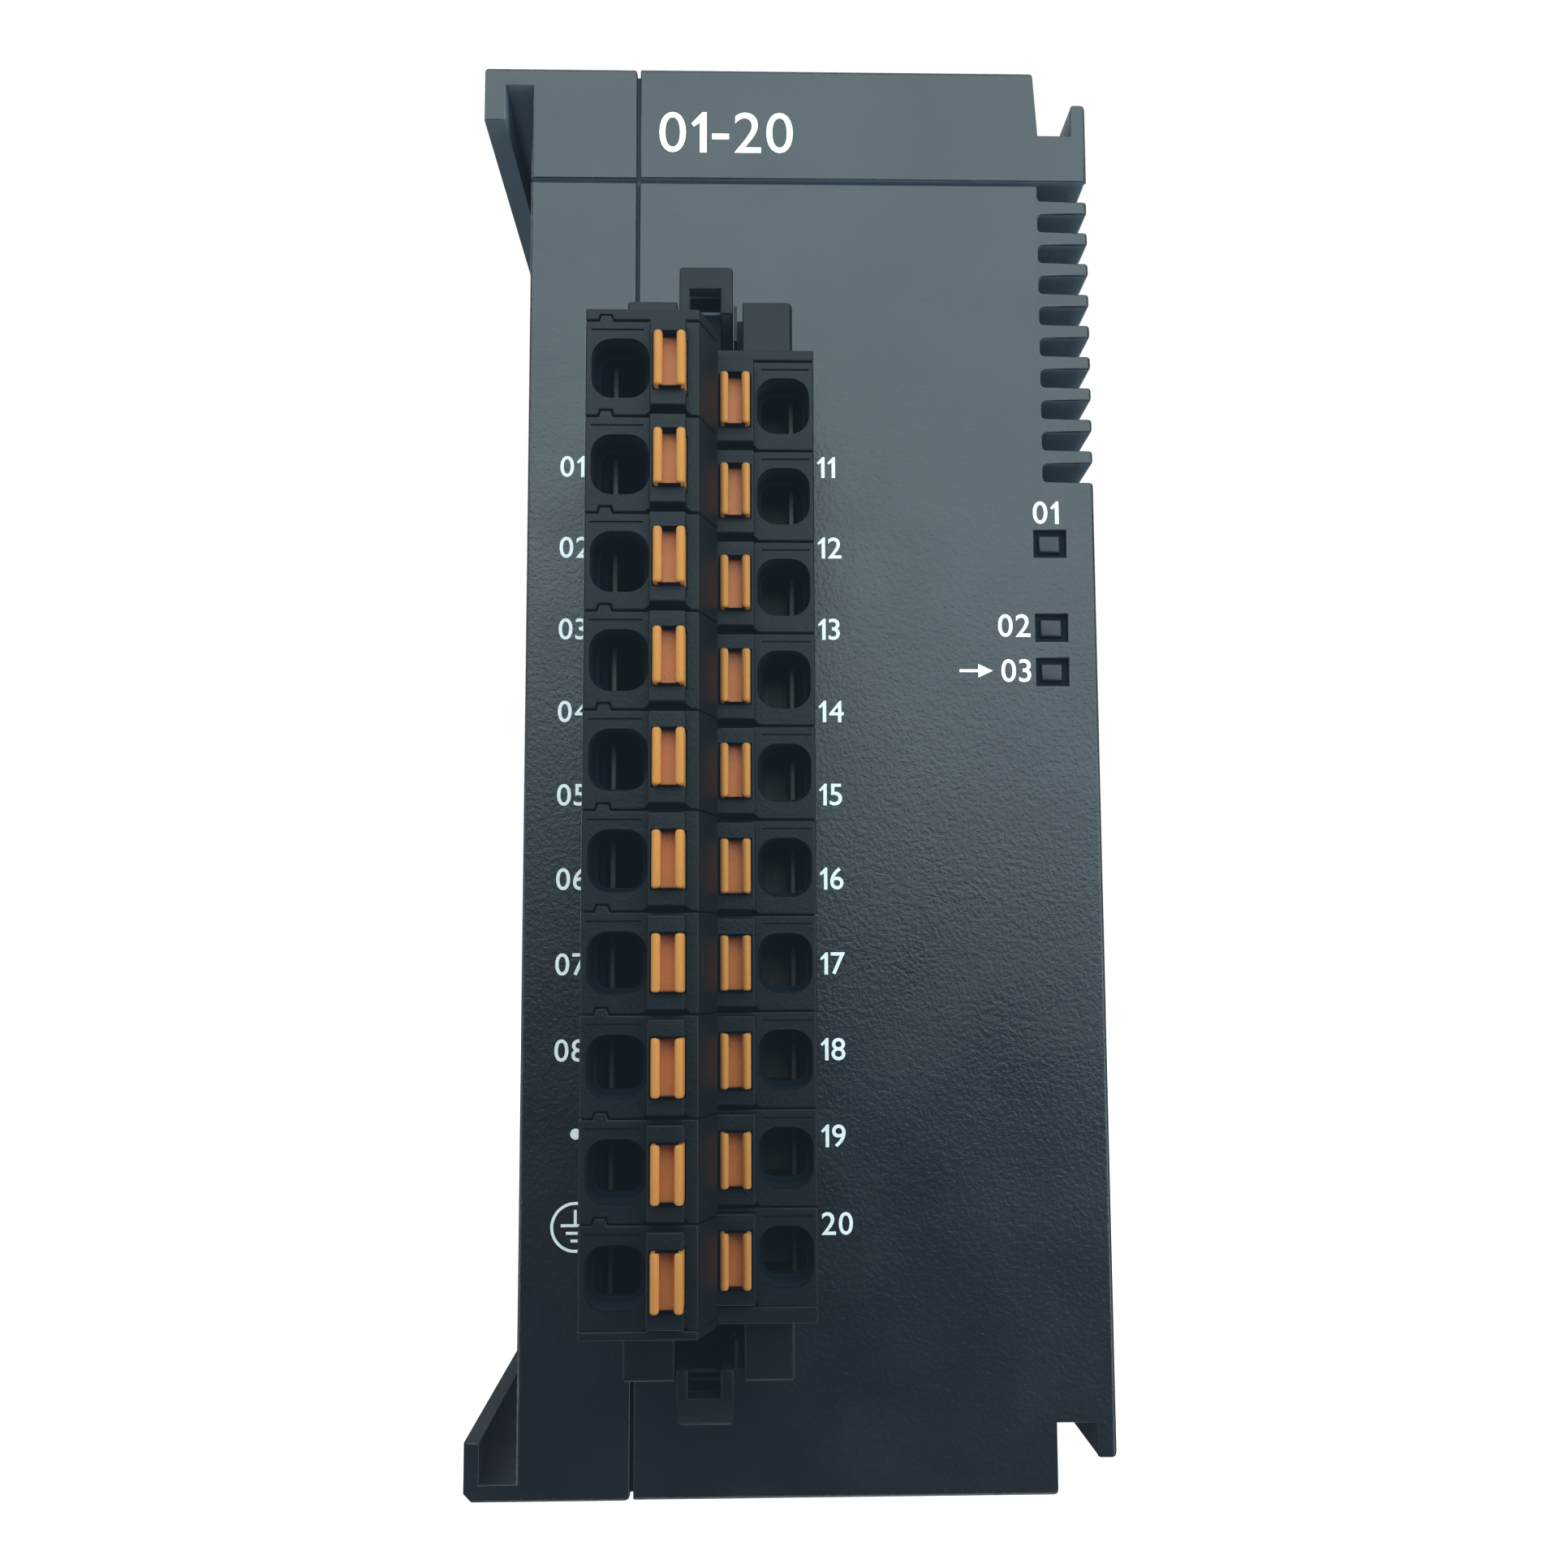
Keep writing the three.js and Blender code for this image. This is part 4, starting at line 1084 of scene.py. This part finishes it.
def pusher_mesh(pole):
    """A release pusher: two rounded rails with a channel for a screwdriver between them."""
    half = PUSH_WIDTH / 2
    channel = half - RAIL
    top = PUSH_TOP[pole]
    r = RAIL / 2 - 0.01
    outline = [(-half, top - PUSH_DEPTH), (half, top - PUSH_DEPTH)]
    outline += arc(half - r, top - r, r, 0, 90, 5)
    outline += arc(channel + r, top - r, r, 90, 180, 5)
    outline += [(channel, top - CHANNEL_DEPTH), (-channel, top - CHANNEL_DEPTH)]
    outline += arc(-channel - r, top - r, r, 0, 90, 5)
    outline += arc(-half + r, top - r, r, 90, 180, 5)
    section = [(PUSH_X[pole] + u, above(h)) for u, h in outline]
    made = prism("z", section, -PUSH_HEIGHT / 2, PUSH_HEIGHT / 2)
    floor = above(top - CHANNEL_DEPTH)

    def rule(edge):
        at_end = abs(abs(edge.middle.z) - PUSH_HEIGHT / 2) < TOUCH
        if not at_end or edge.along == 2:
            return 0
        return RAIL_END if edge.middle.y < floor - 0.2 else CHANNEL_END

    round_edges(made, rule, 4)

    # The channel between the rails gets a painted shade with bounced orange light.
    def in_channel_shade(place, _):
        beside = abs(place.x - PUSH_X[pole]) < channel + CHANNEL_SHADE_REACH["beside"]
        return beside and place.y < floor + CHANNEL_SHADE_REACH["below"]

    return paint(made, in_channel_shade)


def pushers():
    for pole in POLES:
        shape = take_mesh(pusher_mesh(pole))
        for row, z in zip(ROWS, ROW_Z):
            piece = link("work", shape.copy())
            piece.data.transform(Matrix.Translation((0, 0, z)))
            finish_piece(
                piece,
                f"push_{pole}_{row}",
                f"pusher_{pole}_{row}_body",
                [ORANGE, CHANNEL_SHADE_AND_BOUNCE_ORANGE],
                [f"pusher_{pole}_{row}"],
            )


# ---- boards, lenses, clip ----

# The parts on the main board, whose slab's top lies at Z 0
CONNECTORS_Y = (-34, -18)
CHIP = {"x": (-4.5, 6.5), "y": (-50, -38), "top": 1.5}
CAN = {"x": (-12, -4.4), "y": (-47, -39)}
COIL = {"x": (-3.5, 4.5), "y": (-32, -23), "top": 4.4}
# The front board's slab lies behind its lamp chips
FRONT_SLAB = {"inset": 0.7, "thick": 1.6}


def inside(x_range, y_range, z_range):
    """A paint rule: the face's middle lies in a box."""
    ranges = (x_range, y_range, z_range)
    return lambda place, _: all(a - 0.01 <= v <= b + 0.01 for (a, b), v in zip(ranges, place))


def main_circuit():
    low, high = box("main_board")
    made = round_edges(copy_of_cad("main_board"), plain_rule(0.08, 1.0))
    connectors = inside((low.x, high.x), CONNECTORS_Y, (TOUCH, high.z))
    chip = inside(CHIP["x"], CHIP["y"], (TOUCH, CHIP["top"]))
    can = inside(CAN["x"], CAN["y"], (TOUCH, high.z))
    coil = inside(COIL["x"], COIL["y"], (TOUCH, COIL["top"]))
    paint(made, connectors, chip, can, coil)
    skins = [BOARD_GREEN, CONNECTOR_BLACK, CHIP_BLACK, TINNED, FERRITE]
    finish_piece(made, "main_circuit", "housing", skins, ["main_board"])


def front_circuit():
    low, high = box("front_board")
    made = round_edges(copy_of_cad("front_board"), plain_rule(0.06, 1.0))
    slab = low.y + FRONT_SLAB["inset"] + FRONT_SLAB["thick"]
    paint(made, inside((low.x, high.x), (slab + TOUCH, high.y), (low.z, high.z)))
    skins = [BOARD_GREEN, CHIP_BLACK]
    finish_piece(made, "front_circuit", "housing", skins, ["front_board"])


LAMP_CAP = {"x": (-0.66, 0.64), "y": (0.16, 0.49), "half_z": 0.53}
LAMP_NECK = {"x": (-0.55, 0.55), "y": (0.3, 0.9), "half_z": 0.45}


def light_guide():
    """The lamps' light guide, with a flat cap in each recess."""
    made = copy_of_cad("light_guide")
    for z in LAMP_Z:
        cap, neck = [
            block(
                *[LAMP_X + x for x in part["x"]],
                *[FACE_Y + y for y in part["y"]],
                z - part["half_z"],
                z + part["half_z"],
            )
            for part in (LAMP_CAP, LAMP_NECK)
        ]
        round_edges(cap, plain_rule(0.12))
        join(made, cap, neck)
    finish_piece(made, "lamp_lens", "housing", [LENS], ["light_guide"])


def rail_clip():
    clip = round_edges(copy_of_cad("din_clip"), plain_rule(0.2, 0.9))
    finish_piece(clip, "rail_clip", "rail_clip", [CLIP_BLACK], ["din_clip"])


header()
housing()
seam_ribs()
for end_name in ENDS:
    lever(end_name)
plug_slices()
floor_plate()
end_plate()
pushers()
main_circuit()
front_circuit()
light_guide()
rail_clip()
for row in ROWS:
    for pole in POLES:
        round_cad(f"clamp_{pole}_{row}", 0.05, 2, SPRING_STEEL)


# ---- printed marks ----

INK_THICKNESS = 0.02


def stand_on_face(mesh, name):
    finish_piece(link(name, mesh), name, "housing", [WHITE_INK])


# Characters drawn here, as outlines of a unit height
DRAWN = {
    "1": [(0, 0.72), (0.06, 0.64), (0.2, 0.74), (0.2, 0), (0.36, 0), (0.36, 1), (0.26, 1)],
    "-": rectangle(0, 0.4, 0.33, 0.47),
}
LETTER_GAP = 0.13


def font_glyph(character, height, weight):
    """A character of the built-in font, scaled to the height, its lower left corner at the origin."""
    curve = bpy.data.curves.new("work", "FONT")
    curve.body = character
    curve.offset = weight
    curve.extrude = 0.5
    curve.resolution_u = 5
    source = link("work", curve)
    bpy.context.view_layer.update()
    graph = bpy.context.evaluated_depsgraph_get()
    mesh = bpy.data.meshes.new_from_object(source.evaluated_get(graph))
    bpy.data.objects.remove(source)
    low_x = min(v.co.x for v in mesh.vertices)
    low_y = min(v.co.y for v in mesh.vertices)
    grow = height / (max(v.co.y for v in mesh.vertices) - low_y)
    for v in mesh.vertices:
        depth = above(INK_THICKNESS / 2) - v.co.z * INK_THICKNESS
        v.co = Vector(((v.co.x - low_x) * grow, depth, (v.co.y - low_y) * grow))
    return mesh


def printed(name, text, height, left=None, right=None, bottom=0.0, weight=0.007):
    """A line of text on the front face. One of its sides and its base line are given."""
    bm = bmesh.new()
    cursor = 0.0
    for character in text:
        if character in DRAWN:
            outline = [(u * height, v * height) for u, v in DRAWN[character]]
            mesh = take_mesh(prism("y", outline, above(INK_THICKNESS), above(0)))
        else:
            mesh = font_glyph(character, height, weight)
        width = max(v.co.x for v in mesh.vertices)
        mesh.transform(Matrix.Translation((cursor, 0, 0)))
        bm.from_mesh(mesh)
        cursor += width + LETTER_GAP * height
    bmesh.ops.remove_doubles(bm, verts=bm.verts, dist=DOUBLED)
    mesh = mesh_from(bm, name)
    start = left if left is not None else right - cursor + LETTER_GAP * height
    mesh.transform(Matrix.Translation((start, 0, bottom)))
    stand_on_face(mesh, name)


def ink_shape(name, outline, hole=None):
    """A flat printed shape, with a hole if one is given."""
    made = prism("y", outline, above(INK_THICKNESS), above(0))
    if hole:
        made = cut(made, prism("y", hole, *heights(-PAST, PAST)))
    stand_on_face(take_mesh(made), name)


TITLE = {"height": 2.66, "left": -9.5, "bottom": 38.07, "weight": 0.0}
LABEL = {"height": 1.32, "right_column": 0.3, "left_column": -15.5}
LAMP_LABEL = {"height": 1.42, "left": 13.65, "right": 13.35, "bottoms": (14.2, 7.1, 4.3)}
NUMBERED_LEFT = 8
DOT = {"x": -14.2, "rise": 0.2, "radius": 0.32}
EARTH = {"x": -14.17, "z": -28.1, "radius": 1.46, "line": 0.17}
# Each bar's half length and its height from the sign's middle, and the stem's two ends
EARTH_BARS = ((0.85, 0.1), (0.55, -0.34), (0.27, -0.78))
EARTH_STEM = (0.18, 1.0)
ARROW = {"from": 8.95, "to": 11.0, "z": 5.0, "shaft": 0.09, "head": 0.42, "neck": 10.1}


def arrow_mark():
    z, half, wing = ARROW["z"], ARROW["shaft"], ARROW["head"]
    tail, neck, tip = ARROW["from"], ARROW["neck"], ARROW["to"]
    outline = [
        (tail, z - half),
        (neck, z - half),
        (neck, z - wing),
        (tip, z),
        (neck, z + wing),
        (neck, z + half),
        (tail, z + half),
    ]
    ink_shape("mark_arrow", outline)


def circle(x, z, radius, steps):
    return arc(x, z, radius, 0, 360 - 360 / steps, steps - 1)


def earth_mark():
    """The earth sign: a stem over three bars, in a ring."""
    x, z, radius, line = EARTH["x"], EARTH["z"], EARTH["radius"], EARTH["line"]
    ink_shape("mark_earth_ring", circle(x, z, radius, 48), circle(x, z, radius - line, 48))
    for index, (half, rise) in enumerate(EARTH_BARS, start=1):
        middle = z + rise
        bar = rectangle(x - half, x + half, middle - line / 2, middle + line / 2)
        ink_shape(f"mark_earth_bar_{index}", bar)
    low, high = EARTH_STEM
    stem = rectangle(x - line / 2, x + line / 2, z + low, z + high)
    ink_shape("mark_earth_stem", stem)


def marks():
    """The title, each row's number on both sides, and the lamps' numbers.

    On the left the last two rows have a dot and the earth sign instead of a number.
    """
    title = f"{ROWS[0]}-{2 * ROW_COUNT}"
    printed("mark_title", title, **TITLE)
    height = LABEL["height"]
    for index, (row, z) in enumerate(zip(ROWS, ROW_Z), start=1):
        base = z - height / 2
        other = f"{ROW_COUNT + index}"
        printed(f"mark_right_{row}", other, height, left=LABEL["right_column"], bottom=base)
        if index <= NUMBERED_LEFT:
            printed(f"mark_left_{row}", row, height, left=LABEL["left_column"], bottom=base)
    ink_shape("mark_dot", circle(DOT["x"], ROW_Z[NUMBERED_LEFT] + DOT["rise"], DOT["radius"], 24))
    for index, bottom in enumerate(LAMP_LABEL["bottoms"], start=1):
        side = "left" if index == 1 else "right"
        place = {side: LAMP_LABEL[side], "bottom": bottom}
        printed(f"mark_lamp_{index}", f"{index:02d}", LAMP_LABEL["height"], **place)
    arrow_mark()
    earth_mark()


marks()

# ---- stage ----

# The floor's glow grows with the distance in metres, so that it fades into the background
FLOOR_RADIUS = 3
GLOW_DISTANCE = (0.1, 0.8)
GLOW = (0.93, 1.0)
WHITE = (1.0, 1.0, 1.0)
AMBIENT = (0.06, 0.07, 0.08)


def floor():
    bm = bmesh.new()
    bmesh.ops.create_circle(bm, cap_ends=True, segments=96, radius=FLOOR_RADIUS)
    obj = link("floor", mesh_from(bm, "floor"))
    obj.location.z = CAD_LOW.z
    s = Shader("floor_white")
    place = s.add("ShaderNodeTexCoord")
    radius = s.add("ShaderNodeVectorMath", operation="LENGTH")
    s.wire(place.outputs["Object"], radius.inputs[0])
    glow = s.remap(radius.outputs["Value"], *GLOW_DISTANCE, *GLOW)
    s.set(Base_Color=(0.5, 0.5, 0.5), Roughness=0.9)
    s.set(Emission_Color=WHITE, Emission_Strength=glow)
    obj.data.materials.append(s.material)
    obj.visible_diffuse = False
    obj.visible_glossy = False
    obj.visible_shadow = False


def world():
    """White to the camera and dim to everything else."""
    made = bpy.data.worlds.new("studio")
    bpy.context.scene.world = made
    made.use_nodes = True
    tree = made.node_tree
    back = tree.nodes["Background"]
    path = tree.nodes.new("ShaderNodeLightPath")
    mixer = tree.nodes.new("ShaderNodeMix")
    mixer.data_type = "RGBA"
    mixer.inputs[6].default_value = (*AMBIENT, 1)
    mixer.inputs[7].default_value = (*WHITE, 1)
    tree.links.new(path.outputs["Is Camera Ray"], mixer.inputs[0])
    tree.links.new(mixer.outputs[2], back.inputs["Color"])


def softbox(name, place, width, height, radiance, colour):
    """A rectangular light. Places and sizes are in metres."""
    light = bpy.data.lights.new(name, "AREA")
    light.shape = "RECTANGLE"
    light.size = width
    light.size_y = height
    light.energy = radiance * math.pi * width * height
    light.color = colour
    obj = link(name, light)
    obj.location = place
    obj.visible_camera = False
    return obj


# The photo's point of view, in millimetres
CAMERA = {
    "place": (-4.663, -170.088, -13.075),
    "forward": (0.02775, 0.99374, 0.10825),
    "up": (0.00111, -0.10832, 0.99411),
    "lens": 38.968,
}


def camera():
    data = bpy.data.cameras.new("camera")
    data.sensor_width = 36
    data.lens = CAMERA["lens"]
    data.clip_start = 0.001
    data.clip_end = 20
    obj = link("camera", data)
    forward = Vector(CAMERA["forward"]).normalized()
    right = forward.cross(Vector(CAMERA["up"])).normalized()
    up = right.cross(forward)
    turn = Matrix((right, up, -forward)).transposed().to_4x4()
    obj.matrix_world = Matrix.Translation(Vector(CAMERA["place"]) * MM) @ turn
    bpy.context.scene.camera = obj


# The large light in front. It hangs high, so that its reflection fades down the face
KEY = {
    "place": (0.0165, -0.218, 0.156),
    "width": 0.502,
    "height": 0.286,
    "radiance": 3.85,
    "colour": (0.735, 0.945, 0.985),
}
# It faces the wall, rolled a little about its own axis
KEY_TURN = (math.radians(90), math.radians(18), 0)
AIM = (0, -0.03, 0)
SIDE_COLOUR = (0.88, 0.97, 1.0)
# The lights round the object: place, width, height and radiance
SOFTBOXES = {
    "left": ((-0.62, -0.40, -0.15), 0.5, 0.5, 2.6),
    "right": ((0.62, -0.40, -0.15), 0.5, 0.5, 2.6),
    "under": ((0.1, -0.05, -0.6), 0.8, 0.6, 1.6),
    "roof": ((0.0, 0.15, 0.8), 0.8, 0.6, 1.8),
    "back_left": ((-0.5, 0.6, 0.3), 0.6, 0.6, 2.2),
    "back_right": ((0.5, 0.6, 0.3), 0.6, 0.6, 2.2),
}


def lights():
    softbox("key", **KEY).rotation_euler = KEY_TURN
    for name, (place, width, height, radiance) in SOFTBOXES.items():
        made = softbox(name, place, width, height, radiance, SIDE_COLOUR)
        towards = Vector(AIM) - Vector(place)
        made.rotation_euler = towards.to_track_quat("-Z", "Y").to_euler()


floor()
world()
lights()
camera()
view = bpy.context.scene.view_settings
view.view_transform = "Standard"
# A lens in front of a white backdrop never shows full black
view.use_curve_mapping = True
view.curve_mapping.black_level = (-0.0065, -0.0105, -0.0145)
view.curve_mapping.update()
